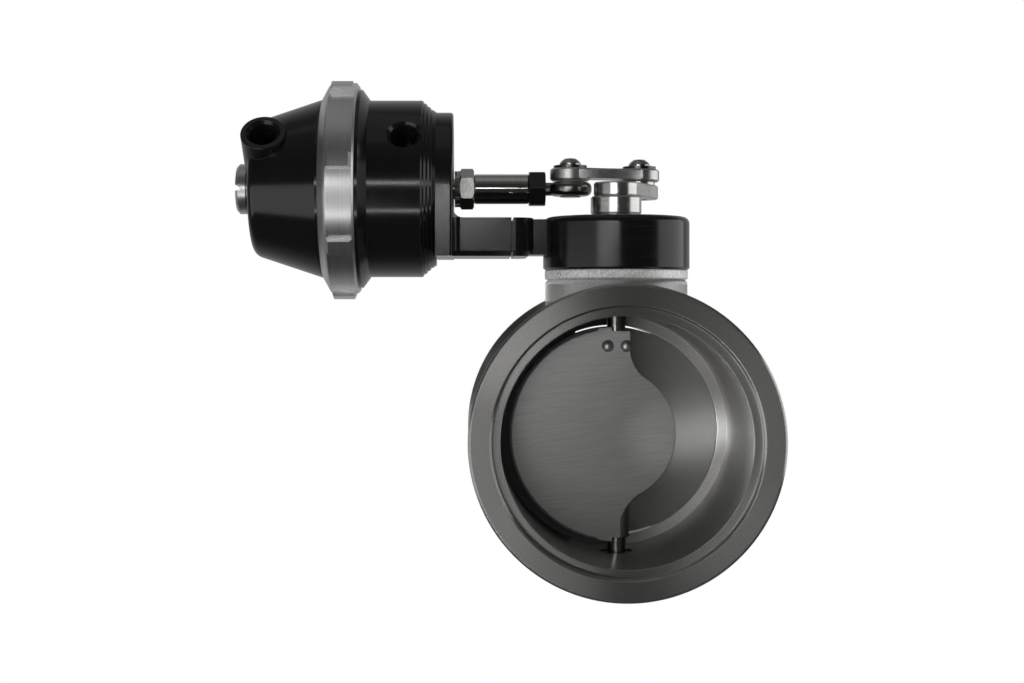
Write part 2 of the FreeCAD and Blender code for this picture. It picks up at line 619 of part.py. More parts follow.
def make_retaining_collar():
    """The threaded ring over both flanges, with raised grips along it."""
    right = FLANGE_FACE_X
    left = right - COLLAR_LENGTH
    cut = COLLAR_CHAMFER
    outline = [(right, SPIGOT_R), (right, COLLAR_R - cut), (right - cut, COLLAR_R), (left + COLLAR_BEVEL, COLLAR_R),
               (left + COLLAR_BEVEL - cut, COLLAR_R - cut), (left, CAP_R + cut), (left, CAP_R + 0.15),
               (CAP_FLANGE_X, CAP_R + 0.15), (CAP_FLANGE_X, SPIGOT_R)]
    collar = turned_on_rod(outline)
    grip_left = left + COLLAR_BEVEL
    root = COLLAR_R - COLLAR_RIB_HEIGHT
    grip_outline = [(right - cut, root), (right - cut, COLLAR_R + cut), (right - 2 * cut, COLLAR_RIB_R),
                    (grip_left + cut, COLLAR_RIB_R), (grip_left, COLLAR_R), (grip_left, root)]
    points = [vec(x, AXIS_Y, AXIS_Z + radius) for x, radius in grip_outline]
    grip_face = Part.Face(Part.makePolygon(points + [points[0]]))
    centre = vec(0, AXIS_Y, AXIS_Z)
    for place in COLLAR_RIB_PLACES:
        start = 90 - place - COLLAR_RIB_ANGLE / 2
        face = grip_face.copy()
        face.rotate(centre, AXIS_X_DIR, start)
        collar = collar.fuse(face.revolve(centre, AXIS_X_DIR, COLLAR_RIB_ANGLE))
    return collar.removeSplitter()


def make_end_plug():
    """The slotted plug in the cap's end: a stub, a neck and a chamfered head."""
    head_x = CAP_END_X - END_PLUG_NECK
    left = head_x - END_PLUG_HEAD
    outline = [(CAP_END_X + CAP_WALL, 0), (CAP_END_X + CAP_WALL, END_PLUG_STUB_R), (CAP_END_X, END_PLUG_STUB_R),
               (CAP_END_X, END_PLUG_NECK_R), (head_x, END_PLUG_NECK_R), (head_x, END_PLUG_R),
               (left + 0.7, END_PLUG_R), (left, END_PLUG_R - 0.7), (left, 0)]
    plug = turned_on_rod(outline)
    half = END_PLUG_SLOT / 2
    return plug.cut(box(left - 1, left + 1.2, AXIS_Y - END_PLUG_R - 1, AXIS_Y + END_PLUG_R + 1,
                        AXIS_Z - half, AXIS_Z + half))


def make_spring(coil_r, x_from, x_to):
    """A plain compression spring of eight-sided wire between two faces, at its fitted length."""
    gap = SPRING_WIRE_R + FLOAT_GAP
    length = abs(x_to - x_from) - 2 * gap
    pitch = length / SPRING_TURNS
    helix = Part.makeHelix(pitch, length, coil_r)
    lean = math.atan2(pitch, 2 * math.pi * coil_r)
    corners = []
    for index in range(SPRING_WIRE_SIDES + 1):
        angle = 2 * math.pi * (index + 0.5) / SPRING_WIRE_SIDES
        across = SPRING_WIRE_R * math.cos(angle)
        along = SPRING_WIRE_R * math.sin(angle)
        corners.append(vec(coil_r + across, -along * math.sin(lean), along * math.cos(lean)))
    spring = Part.Wire(helix).makePipeShell([Part.makePolygon(corners)], True, True)
    spring.rotate(vec(0, 0, 0), vec(0, 1, 0), 90)
    spring.translate(vec(min(x_from, x_to) + gap, AXIS_Y, AXIS_Z))
    return spring


def make_outer_spring():
    return make_spring(OUTER_SPRING_R, CAP_END_X + CAP_WALL, SEAT_LEFT_X)


def make_inner_spring():
    return make_spring(INNER_SPRING_R, CAP_END_X + CAP_WALL, SEAT_LEFT_X)


def make_actuator_rod():
    """The rod: a threaded tail for the piston, a ground middle and a threaded end for the coupler."""
    tail = SEAT_LEFT_X - PISTON_NUT - 1.0
    rod = rod_x(ROD_THREAD_R, tail, PISTON_LEFT_X + 1)
    rod = rod.fuse(rod_x(ROD_R, PISTON_LEFT_X + 1, ROD_SHOULDER_X))
    return rod.fuse(rod_x(ROD_THREAD_R, ROD_SHOULDER_X, SLEEVE_X + SLEEVE_LENGTH / 2))


def make_piston():
    piston = rod_x(PISTON_R, PISTON_LEFT_X, PISTON_RIGHT_X)
    rims = edges_where(piston, lambda e: on_circle(e, PISTON_R, 0, PISTON_LEFT_X))
    piston = piston.makeFillet(0.8, rims)
    piston = piston.cut(rod_x(ROD_R, PISTON_LEFT_X + 1, PISTON_RIGHT_X + 1))
    return piston.cut(rod_x(ROD_THREAD_R, PISTON_LEFT_X - 1, PISTON_RIGHT_X))


def make_spring_seat():
    seat = rod_x(SEAT_PLATE_R, SEAT_LEFT_X, SEAT_X)
    return seat.cut(rod_x(ROD_THREAD_R, SEAT_LEFT_X - 1, SEAT_X + 1))


def make_piston_nut():
    nut = hexagon_x(PISTON_NUT_AF, SEAT_LEFT_X - PISTON_NUT, SEAT_LEFT_X)
    return nut.cut(rod_x(ROD_THREAD_R, SEAT_LEFT_X - PISTON_NUT - 1, SEAT_LEFT_X + 1))


def make_toothed_washer():
    left = LOCK_NUT_X - TOOTH_WASHER
    ring = rod_x(TOOTH_WASHER_R, left, LOCK_NUT_X).cut(rod_x(ROD_THREAD_R, left - 1, LOCK_NUT_X + 1))
    for step in range(TOOTH_COUNT):
        angle = 2 * math.pi * step / TOOTH_COUNT
        notch = rod_x(TOOTH_DEPTH, left - 1, LOCK_NUT_X + 1, AXIS_Y + TOOTH_WASHER_R * math.cos(angle),
                      AXIS_Z + TOOTH_WASHER_R * math.sin(angle))
        ring = ring.cut(notch)
    return ring


def make_lock_nut():
    nut = hexagon_x(LOCK_NUT_AF, LOCK_NUT_X, SLEEVE_X)
    return nut.cut(rod_x(ROD_THREAD_R, LOCK_NUT_X - 1, SLEEVE_X + 1))


def make_coupler_sleeve():
    middle = SLEEVE_X + SLEEVE_LENGTH / 2
    sleeve = rod_x(SLEEVE_R, SLEEVE_X, END_NUT_X)
    ends = edges_where(sleeve, lambda e: on_circle(e, SLEEVE_R, 0, END_NUT_X) or on_circle(e, SLEEVE_R, 0, SLEEVE_X))
    sleeve = sleeve.makeChamfer(0.3, ends)
    sleeve = sleeve.cut(rod_x(ROD_THREAD_R, SLEEVE_X - 1, middle))
    return sleeve.cut(rod_x(SHANK_R, middle, END_NUT_X + 1))


def make_rod_end_nut():
    nut = hexagon_x(END_NUT_AF, END_NUT_X, SHANK_X, 0)
    return nut.cut(rod_x(SHANK_R, END_NUT_X - 1, SHANK_X + 1))


def make_rod_end():
    """The rounded eye and its shank, which screws into the coupler."""
    bottom = AXIS_Z - EYE_THICK / 2
    eye = rod_z(EYE_R, bottom, EYE_TOP, EYE_X, AXIS_Y)
    rims = edges_where(eye, lambda e: on_circle(e, EYE_R, 2, EYE_TOP) or on_circle(e, EYE_R, 2, bottom))
    eye = eye.makeFillet(EYE_ROUND, rims)
    shank = rod_x(SHANK_R, END_NUT_X - SLEEVE_LENGTH / 2, EYE_X - BALL_R - 0.5)
    end = eye.fuse(shank)
    return end.cut(Part.makeSphere(BALL_R + RUNNING_GAP, vec(EYE_X, AXIS_Y, AXIS_Z)))


def make_rod_end_ball():
    """The ball in the eye, cut flat above and below."""
    ball = Part.makeSphere(BALL_R, vec(EYE_X, AXIS_Y, AXIS_Z))
    slab = box(EYE_X - 5, EYE_X + 5, AXIS_Y - 5, AXIS_Y + 5, AXIS_Z - EYE_THICK / 2 - 0.3, EYE_TOP - 0.1)
    neck = rod_z(BALL_NECK_R, AXIS_Z, BALL_TOP, EYE_X, AXIS_Y)
    return ball.common(slab).fuse(neck).removeSplitter()


def make_valve_shaft():
    """The shaft: a full journal in the neck, a thin stub through the plate and into the foot."""
    stub_bottom = foot_bush_span()[0] + 0.3
    shoulder = FRONT_BORE_R + 0.5
    shaft = rod_z(STUB_R, stub_bottom, shoulder).fuse(rod_z(SHAFT_R, shoulder, SHAFT_TOP))
    screw_hole = rod_z(LEVER_SCREW_R, LEVER_TOP - LEVER_SCREW_LENGTH - 0.5, LEVER_TOP + 1)
    return shaft.cut(screw_hole)


def wave_outline():
    """The plate's front outline: a round left half and, on the right, a bulge with two flares."""
    face = PLATE_FACE_Y
    top_z = math.sqrt(PLATE_R ** 2 - PLATE_TOP_X ** 2)
    bottom_z = -math.sqrt(PLATE_R ** 2 - PLATE_BOTTOM_X ** 2)
    edges = [Part.Arc(vec(PLATE_TOP_X, face, top_z), vec(-PLATE_R, face, 0),
                      vec(PLATE_BOTTOM_X, face, bottom_z)).toShape()]
    bulge_r = BULGE_R - BULGE_INSET
    corners = []
    for side, line_x, flare_r in ((-1, PLATE_BOTTOM_X, FLARE_BOTTOM_R), (1, PLATE_TOP_X, FLARE_TOP_R)):
        flare_x = line_x + flare_r
        reach = bulge_r + flare_r
        flare_z = side * math.sqrt(reach ** 2 - (flare_x - BULGE_X) ** 2)
        touch = vec(BULGE_X + (flare_x - BULGE_X) * bulge_r / reach, face, flare_z * bulge_r / reach)
        leave = vec(line_x, face, flare_z)
        towards = vec(leave.x + touch.x - 2 * flare_x, 0, leave.z + touch.z - 2 * flare_z).normalize()
        middle = vec(flare_x, face, flare_z) + towards * flare_r
        corners.append((leave, middle, touch))
    low, high = corners
    edges.append(Part.LineSegment(vec(PLATE_BOTTOM_X, face, bottom_z), low[0]).toShape())
    edges.append(Part.Arc(low[0], low[1], low[2]).toShape())
    edges.append(Part.Arc(low[2], vec(BULGE_X + bulge_r, face, 0), high[2]).toShape())
    edges.append(Part.Arc(high[2], high[1], high[0]).toShape())
    edges.append(Part.LineSegment(high[0], vec(PLATE_TOP_X, face, top_z)).toShape())
    return Part.Face(Part.Wire(edges))


def cone_circle(y, inset=0.0):
    """The oblique cone's section at a depth: the bulge at the face, the full rim at the back."""
    share = (y - PLATE_FACE_Y) / (CONE_RIM_Y - PLATE_FACE_Y)
    centre = vec(BULGE_X * (1 - share), y, 0)
    radius = BULGE_R + (CONE_RIM_R - BULGE_R) * share - inset
    return Part.Wire(Part.Circle(centre, AXIS_Y_DIR, radius).toShape())


def make_valve_plate():
    """The plate: a flat left half that closes on a ledge, an oblique cone on the right, and a barrel."""
    far = FLANGE_R
    left_half = box(-far, 0, PLATE_FACE_Y, PLATE_BACK_Y, -far, far)
    right_half = box(0, far, PLATE_FACE_Y, FLANGE_R, -far, far)
    drum = rod_y(PLATE_R, PLATE_FACE_Y, PLATE_BACK_Y)
    drum = drum.makeChamfer(PLATE_EDGE_CHAMFER, edges_where(drum, lambda e: on_circle(e, PLATE_R, 1, PLATE_FACE_Y)))
    left = drum.common(left_half)
    pocket = rod_y(PLATE_R - PLATE_RIM_WALL, PLATE_FACE_Y + PLATE_WEB, PLATE_BACK_Y + 1)
    left = left.cut(pocket.common(left_half))
    cone = Part.makeLoft([cone_circle(PLATE_FACE_Y), cone_circle(CONE_RIM_Y)], True, True)
    cone = cone.fuse(rod_y(CONE_RIM_R, CONE_RIM_Y, CONE_RIM_Y + CONE_RIM_LENGTH))
    hollow = Part.makeLoft([cone_circle(PLATE_FACE_Y + PLATE_WEB, PLATE_RIM_WALL),
                            cone_circle(CONE_RIM_Y + CONE_RIM_LENGTH + 1, PLATE_RIM_WALL)], True, True)
    right = cone.cut(hollow).common(right_half)
    sweep = Part.Face(Part.makePolygon([vec(0, 0, -far), vec(0, far, -far),
                                        vec(far / math.tan(math.radians(SWEEP_SLOPE)), far, -far),
                                        vec(0, 0, -far)])).extrude(vec(0, 0, 2 * far))
    right = right.cut(sweep.common(box(-far, 2 * far, PLATE_BACK_Y, far, -far, far)))
    web = wave_outline().extrude(vec(0, PLATE_WEB, 0))
    web = web.common(rod_y(PLATE_R, PLATE_FACE_Y - 1, FLANGE_R)).cut(left_half)
    barrel = rod_z(BARREL_R, -PLATE_R, PLATE_R).common(left_half)
    barrel = barrel.fuse(rod_z(STUB_WALL_R, -PLATE_R, PLATE_R)).common(rod_y(PLATE_R, PLATE_FACE_Y, BARREL_R))
    plate = left.fuse(right).fuse(web).fuse(barrel)
    for side in (-1, 1):
        inner = side * (PLATE_R - PLATE_NOTCH_DEPTH)
        outer = side * (PLATE_R + 1)
        plate = plate.cut(box(-1.2, PLATE_TOP_X + 1, -far, 2.6, min(inner, outer), max(inner, outer)))
    plate = plate.cut(rod_z(STUB_R, -far, far)).removeSplitter()
    for side in (-1, 1):
        plate = plate.cut(rod_y(PIN_R, PLATE_FACE_Y - 1, PLATE_FACE_Y + PIN_LENGTH, side * PIN_SPREAD, PIN_Z))
    return plate


def make_plate_pins():
    pins = []
    dome = 0.9
    sphere_r = (PIN_HEAD_R ** 2 + dome ** 2) / (2 * dome)
    for side in (-1, 1):
        x = side * PIN_SPREAD
        head = Part.makeSphere(sphere_r, vec(x, PLATE_FACE_Y + sphere_r - dome, PIN_Z))
        head = head.common(rod_y(PIN_HEAD_R, PLATE_FACE_Y - 2, PLATE_FACE_Y, x, PIN_Z))
        pins.append(head.fuse(rod_y(PIN_R, PLATE_FACE_Y - 0.2, PLATE_FACE_Y + PIN_LENGTH, x, PIN_Z)))
    shaft = rod_z(STUB_R, 0, NECK_TOP)
    return Part.makeCompound([pin.cut(shaft) for pin in pins])


def make_shaft_collar():
    collar = rod_z(SHAFT_COLLAR_R, COLLAR_BOTTOM, LEVER_BOTTOM)
    rims = edges_where(collar, lambda e: on_circle(e, SHAFT_COLLAR_R, 2, COLLAR_BOTTOM)
                       or on_circle(e, SHAFT_COLLAR_R, 2, LEVER_BOTTOM))
    collar = collar.makeChamfer(0.4, rims)
    collar = collar.cut(rod_z(SHAFT_R, COLLAR_BOTTOM - 1, LEVER_BOTTOM + 1))
    middle = (COLLAR_BOTTOM + LEVER_BOTTOM) / 2
    return collar.cut(rod_y(GRUB_R, SHAFT_R - 1, SHAFT_COLLAR_R + 1, 0, middle))


def make_collar_grub_screw():
    middle = (COLLAR_BOTTOM + LEVER_BOTTOM) / 2
    grub = rod_y(GRUB_R, SHAFT_R, SHAFT_COLLAR_R - 0.3, 0, middle)
    grub = grub.cut(rod_z(SHAFT_R, COLLAR_BOTTOM, LEVER_BOTTOM))
    return grub.cut(rod_y(GRUB_R / 2, SHAFT_COLLAR_R - 1.0, SHAFT_COLLAR_R + 1, 0, middle))


def tangent_web(r_from, r_to, x, y, z_from, z_to):
    """The plate between two round ends, one at the shaft and one at a place."""
    length = math.hypot(x, y)
    lean = math.asin((r_from - r_to) / length)
    heading = math.atan2(y, x)
    corners = []
    for radius, cx, cy in ((r_from, 0.0, 0.0), (r_to, x, y)):
        for side in (1, -1):
            angle = heading + side * (math.pi / 2 - lean)
            corners.append(vec(cx + radius * math.cos(angle), cy + radius * math.sin(angle), z_from))
    loop = [corners[0], corners[2], corners[3], corners[1], corners[0]]
    return Part.Face(Part.makePolygon(loop)).extrude(vec(0, 0, z_to - z_from))


def make_lever():
    lever = rod_z(LEVER_HUB_R, LEVER_BOTTOM, LEVER_TOP)
    lever = lever.fuse(rod_z(LEVER_END_R, LEVER_BOTTOM, LEVER_TOP, PIVOT_X, PIVOT_Y))
    lever = lever.fuse(tangent_web(LEVER_HUB_R, LEVER_END_R, PIVOT_X, PIVOT_Y, LEVER_BOTTOM, LEVER_TOP))
    lever = lever.removeSplitter()
    rims = [edge for edge in lever.Edges if edge.BoundBox.ZLength < 0.01]
    lever = lever.makeChamfer(0.35, rims)
    lever = lever.cut(rod_z(SHAFT_R, LEVER_BOTTOM - 1, SHAFT_TOP))
    lever = lever.cut(rod_z(LEVER_SCREW_R, LEVER_BOTTOM - 1, LEVER_TOP + 1))
    sink = LEVER_SCREW_HEAD_R - LEVER_SCREW_R
    lever = lever.cut(Part.makeCone(LEVER_SCREW_R, LEVER_SCREW_HEAD_R, sink, vec(0, 0, LEVER_TOP - sink)))
    return lever.cut(rod_z(PIVOT_SCREW_R, LEVER_BOTTOM - 1, LEVER_TOP + 1, PIVOT_X, PIVOT_Y))


def make_lever_screw():
    sink = LEVER_SCREW_HEAD_R - LEVER_SCREW_R
    head = Part.makeCone(LEVER_SCREW_R, LEVER_SCREW_HEAD_R, sink, vec(0, 0, LEVER_TOP - sink))
    screw = head.fuse(rod_z(LEVER_SCREW_R, LEVER_TOP - LEVER_SCREW_LENGTH, LEVER_TOP - sink))
    return screw.cut(hex_key(0, 0, LEVER_TOP, 1.0, 1.1))


def make_pivot_spacer():
    top = LINK_BOTTOM - FLOAT_GAP
    ring = rod_z(LEVER_END_R - 0.8, LEVER_TOP, top, PIVOT_X, PIVOT_Y)
    return ring.cut(rod_z(PIVOT_SCREW_R, LEVER_TOP - 1, top + 1, PIVOT_X, PIVOT_Y))


def button_head(x, y, bottom):
    """A domed screw head with a hexagonal socket."""
    sphere_r = (BUTTON_R ** 2 + (BUTTON_HEIGHT - 0.5) ** 2) / (2 * (BUTTON_HEIGHT - 0.5))
    sphere = Part.makeSphere(sphere_r, vec(x, y, bottom + BUTTON_HEIGHT - sphere_r))
    head = rod_z(BUTTON_R, bottom, bottom + BUTTON_HEIGHT, x, y).common(sphere)
    return head.cut(hex_key(x, y, bottom + BUTTON_HEIGHT, 1.2, 1.35))


def washer(x, y, bottom):
    ring = rod_z(WASHER_R, bottom, bottom + WASHER_THICK, x, y)
    return ring.cut(rod_z(PIVOT_SCREW_R + FLOAT_GAP, bottom - 1, bottom + WASHER_THICK + 1, x, y))


def make_pivot_washer():
    return washer(PIVOT_X, PIVOT_Y, LINK_TOP + FLOAT_GAP)


def make_pivot_screw():
    seat = LINK_TOP + FLOAT_GAP + WASHER_THICK
    return button_head(PIVOT_X, PIVOT_Y, seat).fuse(rod_z(PIVOT_SCREW_R, LEVER_BOTTOM + 0.3, seat, PIVOT_X, PIVOT_Y))


def make_link_washer():
    return washer(EYE_X, AXIS_Y, LINK_TOP)


def make_link_screw():
    seat = LINK_TOP + WASHER_THICK
    return button_head(EYE_X, AXIS_Y, seat).fuse(rod_z(PIVOT_SCREW_R, LINK_BOTTOM, seat, EYE_X, AXIS_Y))


def make_link_plate():
    """The dog-bone link: two round ends and a waist hollowed by two arcs."""
    dx = PIVOT_X - EYE_X
    dy = PIVOT_Y - AXIS_Y
    length = math.hypot(dx, dy)
    web_bottom = LINK_BOTTOM + LINK_WEB_STEP
    plate = box(0, length, -LINK_END_R, LINK_END_R, web_bottom, LINK_TOP)
    offset = math.sqrt((LINK_WAIST_R + LINK_END_R) ** 2 - (length / 2) ** 2)
    for side in (-1, 1):
        plate = plate.cut(rod_z(LINK_WAIST_R, LINK_BOTTOM - 1, LINK_TOP + 1, length / 2, side * offset))
    plate = plate.fuse(rod_z(LINK_END_R, web_bottom, LINK_TOP)).fuse(rod_z(LINK_END_R, web_bottom, LINK_TOP, length, 0))
    plate = plate.removeSplitter()
    rims = [edge for edge in plate.Edges if edge.BoundBox.ZLength < 0.01 and edge.BoundBox.ZMin > LINK_TOP - 0.1]
    plate = plate.makeChamfer(LINK_EDGE, rims)
    for x in (0, length):
        boss = rod_z(LINK_END_R, LINK_BOTTOM, web_bottom + 0.5, x, 0)
        boss = boss.makeChamfer(LINK_EDGE, edges_where(boss, lambda e: on_circle(e, LINK_END_R, 2, LINK_BOTTOM)))
        plate = plate.fuse(boss)
    plate.rotate(vec(0, 0, 0), AXIS_Z_DIR, math.degrees(math.atan2(dy, dx)))
    plate.translate(vec(EYE_X, AXIS_Y, 0))
    plate = plate.cut(rod_z(PIVOT_SCREW_R, LINK_BOTTOM - 1, LINK_TOP + 1, EYE_X, AXIS_Y))
    return plate.cut(rod_z(PIVOT_SCREW_R + RUNNING_GAP, LINK_BOTTOM - 1, LINK_TOP + 1, PIVOT_X, PIVOT_Y))


PIECES = {
    "valve_body": make_valve_body,
    "upper_bush": make_upper_bush,
    "lower_bush": make_lower_bush,
    "lower_plug": make_lower_plug,
    "insulating_spacer": make_insulating_spacer,
    "bracket": make_bracket,
    "head_screws": make_head_screws,
    "disc_screws": make_disc_screws,
    "shaft_seal": make_shaft_seal,
    "thrust_washer": make_thrust_washer,
    "actuator_body": make_actuator_body,
    "guide_bush": make_guide_bush,
    "rod_seal": make_rod_seal,
    "diaphragm": make_diaphragm,
    "spring_cap": make_cap,
    "retaining_collar": make_retaining_collar,
    "end_plug": make_end_plug,
    "outer_spring": make_outer_spring,
    "inner_spring": make_inner_spring,
    "actuator_rod": make_actuator_rod,
    "piston": make_piston,
    "spring_seat": make_spring_seat,
    "piston_nut": make_piston_nut,
    "toothed_washer": make_toothed_washer,
    "lock_nut": make_lock_nut,
    "coupler_sleeve": make_coupler_sleeve,
    "rod_end_nut": make_rod_end_nut,
    "rod_end": make_rod_end,
    "rod_end_ball": make_rod_end_ball,
    "valve_shaft": make_valve_shaft,
    "valve_plate": make_valve_plate,
    "plate_pins": make_plate_pins,
    "shaft_collar": make_shaft_collar,
    "collar_grub_screw": make_collar_grub_screw,
    "lever": make_lever,
    "lever_screw": make_lever_screw,
    "pivot_spacer": make_pivot_spacer,
    "pivot_washer": make_pivot_washer,
    "pivot_screw": make_pivot_screw,
    "link_plate": make_link_plate,
    "link_washer": make_link_washer,
    "link_screw": make_link_screw,
}


def main():
    os.makedirs("parts", exist_ok=True)
    for name, make in PIECES.items():
        shape = make()
        shape.translate(vec(0, BODY_LENGTH / 2, 0))
        box_of = shape.BoundBox
        print(f"{name}: solids {len(shape.Solids)}, valid {shape.isValid()}, volume {shape.Volume:.1f}, "
              f"x {box_of.XMin:.2f} to {box_of.XMax:.2f}, y {box_of.YMin:.2f} to {box_of.YMax:.2f}, "
              f"z {box_of.ZMin:.2f} to {box_of.ZMax:.2f}")
        shape.exportStep(f"parts/{name}.step")


main()
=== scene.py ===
"""Dresses the turbo wastegate.

It gives the pieces their machined finishes, models the threads of the ports, and sets up the
studio and the camera.
"""

import logging
import math
from dataclasses import dataclass, field
from enum import Enum
from typing import Callable, NamedTuple, Sequence

import bpy
from mathutils import Matrix, Vector


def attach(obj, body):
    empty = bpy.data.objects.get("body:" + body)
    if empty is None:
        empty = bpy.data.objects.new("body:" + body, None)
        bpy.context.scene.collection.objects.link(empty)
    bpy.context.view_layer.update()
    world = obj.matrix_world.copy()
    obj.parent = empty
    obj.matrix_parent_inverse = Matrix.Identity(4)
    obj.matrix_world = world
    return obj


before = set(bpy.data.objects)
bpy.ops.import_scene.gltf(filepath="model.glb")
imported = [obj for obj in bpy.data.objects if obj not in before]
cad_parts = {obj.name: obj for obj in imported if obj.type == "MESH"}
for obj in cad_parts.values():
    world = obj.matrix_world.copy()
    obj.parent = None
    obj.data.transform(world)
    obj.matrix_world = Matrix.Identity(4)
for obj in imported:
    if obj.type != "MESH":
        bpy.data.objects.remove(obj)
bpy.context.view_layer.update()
LOG = logging.getLogger("wastegate")

Colour = tuple[float, float, float]
Point = tuple[float, float, float]

MM = 0.001
WHITE = (1.0, 1.0, 1.0, 1.0)


class Grain(Enum):
    """How a cutter, a brush or a blast has left a surface."""

    TURNED = "turned"
    BRUSHED = "brushed"
    BLASTED = "blasted"


class Axis(Enum):
    """One of the three axes, as a node's sockets name it."""

    X = "X"
    Y = "Y"
    Z = "Z"


class Ramp(NamedTuple):
    """A smooth change of the result from start to end, while the value goes from low to high."""

    low: float
    high: float
    start: float = 0.0
    end: float = 1.0


TURN_TO_Z: dict[Axis, tuple[float, float, float]] = {
    Axis.X: (0.0, math.pi / 2, 0.0),
    Axis.Y: (-math.pi / 2, 0.0, 0.0),
    Axis.Z: (0.0, 0.0, 0.0),
}
LINE_BREAKS = 1.2
LINE_TONE = Ramp(0.3, 0.7)
BRUSH_STRETCH = (0.02, 1.0, 1.0)
SPECKLE_ROUGHNESS = 0.65
SPECKLE_TONE = Ramp(0.35, 0.65)
HANDLING_SCALE = 90.0
HANDLING_MASK = Ramp(0.35, 0.7)
EDGE_MASK = Ramp(0.985, 0.86)
BEVEL_SAMPLES = 4
ZONE_SOFTNESS = 0.05
ANISOTROPY_TURN = 0.25


class Bench:
    """A node tree with short calls that add nodes and join them."""

    def __init__(self, tree: bpy.types.NodeTree) -> None:
        """Keeps the tree that the nodes go into.

        Args:
            tree: The node tree.
        """
        self.tree = tree

    def add(self, kind: str, **settings: object) -> bpy.types.Node:
        """Adds a node.

        Args:
            kind: The node's type name, without its ShaderNode prefix.
            settings: Properties of the node to set.

        Returns:
            The new node.
        """
        node = self.tree.nodes.new("ShaderNode" + kind)
        for name, value in settings.items():
            setattr(node, name, value)
        return node

    def feed(self, socket: bpy.types.NodeSocket, value: object) -> None:
        """Joins a socket to another one, or sets it to a constant.

        Args:
            socket: The socket that takes the value.
            value: The socket that gives it, or the constant.
        """
        if isinstance(value, bpy.types.NodeSocket):
            self.tree.links.new(value, socket)
        else:
            socket.default_value = value

    def math(self, operation: str, *values: object) -> bpy.types.NodeSocket:
        """Works out one value from others.

        Args:
            operation: The Math node's operation.
            values: Sockets or numbers, in order.

        Returns:
            The socket with the result.
        """
        node = self.add("Math", operation=operation)
        for socket, value in zip(node.inputs, values):
            self.feed(socket, value)
        return node.outputs[0]

    def step(self, value: object, ramp: Ramp) -> bpy.types.NodeSocket:
        """Maps a value smoothly from one range to another.

        Args:
            value: The socket to map.
            ramp: The two ranges.

        Returns:
            The mapped value.
        """
        node = self.add("MapRange", interpolation_type="SMOOTHSTEP", clamp=True)
        for socket, number in zip(node.inputs, (value, *ramp)):
            self.feed(socket, number)
        return node.outputs[0]

    def blend(self, factor: object, first: object, second: object) -> bpy.types.NodeSocket:
        """Mixes two colours.

        Args:
            factor: The share of the second colour.
            first: A socket or an RGBA colour.
            second: A socket or an RGBA colour.

        Returns:
            The mixed colour.
        """
        node = self.add("Mix", data_type="RGBA", blend_type="MIX")
        self.feed(node.inputs[0], factor)
        self.feed(node.inputs[6], first)
        self.feed(node.inputs[7], second)
        return node.outputs[2]

    def noise(self, place: object, scale: object, detail: float) -> bpy.types.Node:
        """Adds a noise texture.

        Args:
            place: The socket with the coordinates.
            scale: The noise's scale.
            detail: The number of finer layers.

        Returns:
            The noise's node.
        """
        node = self.add("TexNoise", noise_dimensions="3D")
        self.feed(node.inputs["Vector"], place)
        self.feed(node.inputs["Scale"], scale)
        self.feed(node.inputs["Detail"], detail)
        return node


PLACE_INPUT = ("Vector", "NodeSocketVector", None)
LINES_INPUT = ("Lines", "NodeSocketFloat", 5000.0)
RADIUS_INPUT = ("Radius", "NodeSocketFloat", 0.00015)
MARKS_OUTPUTS = ("Height", "Tone")
MASK_OUTPUTS = ("Mask",)


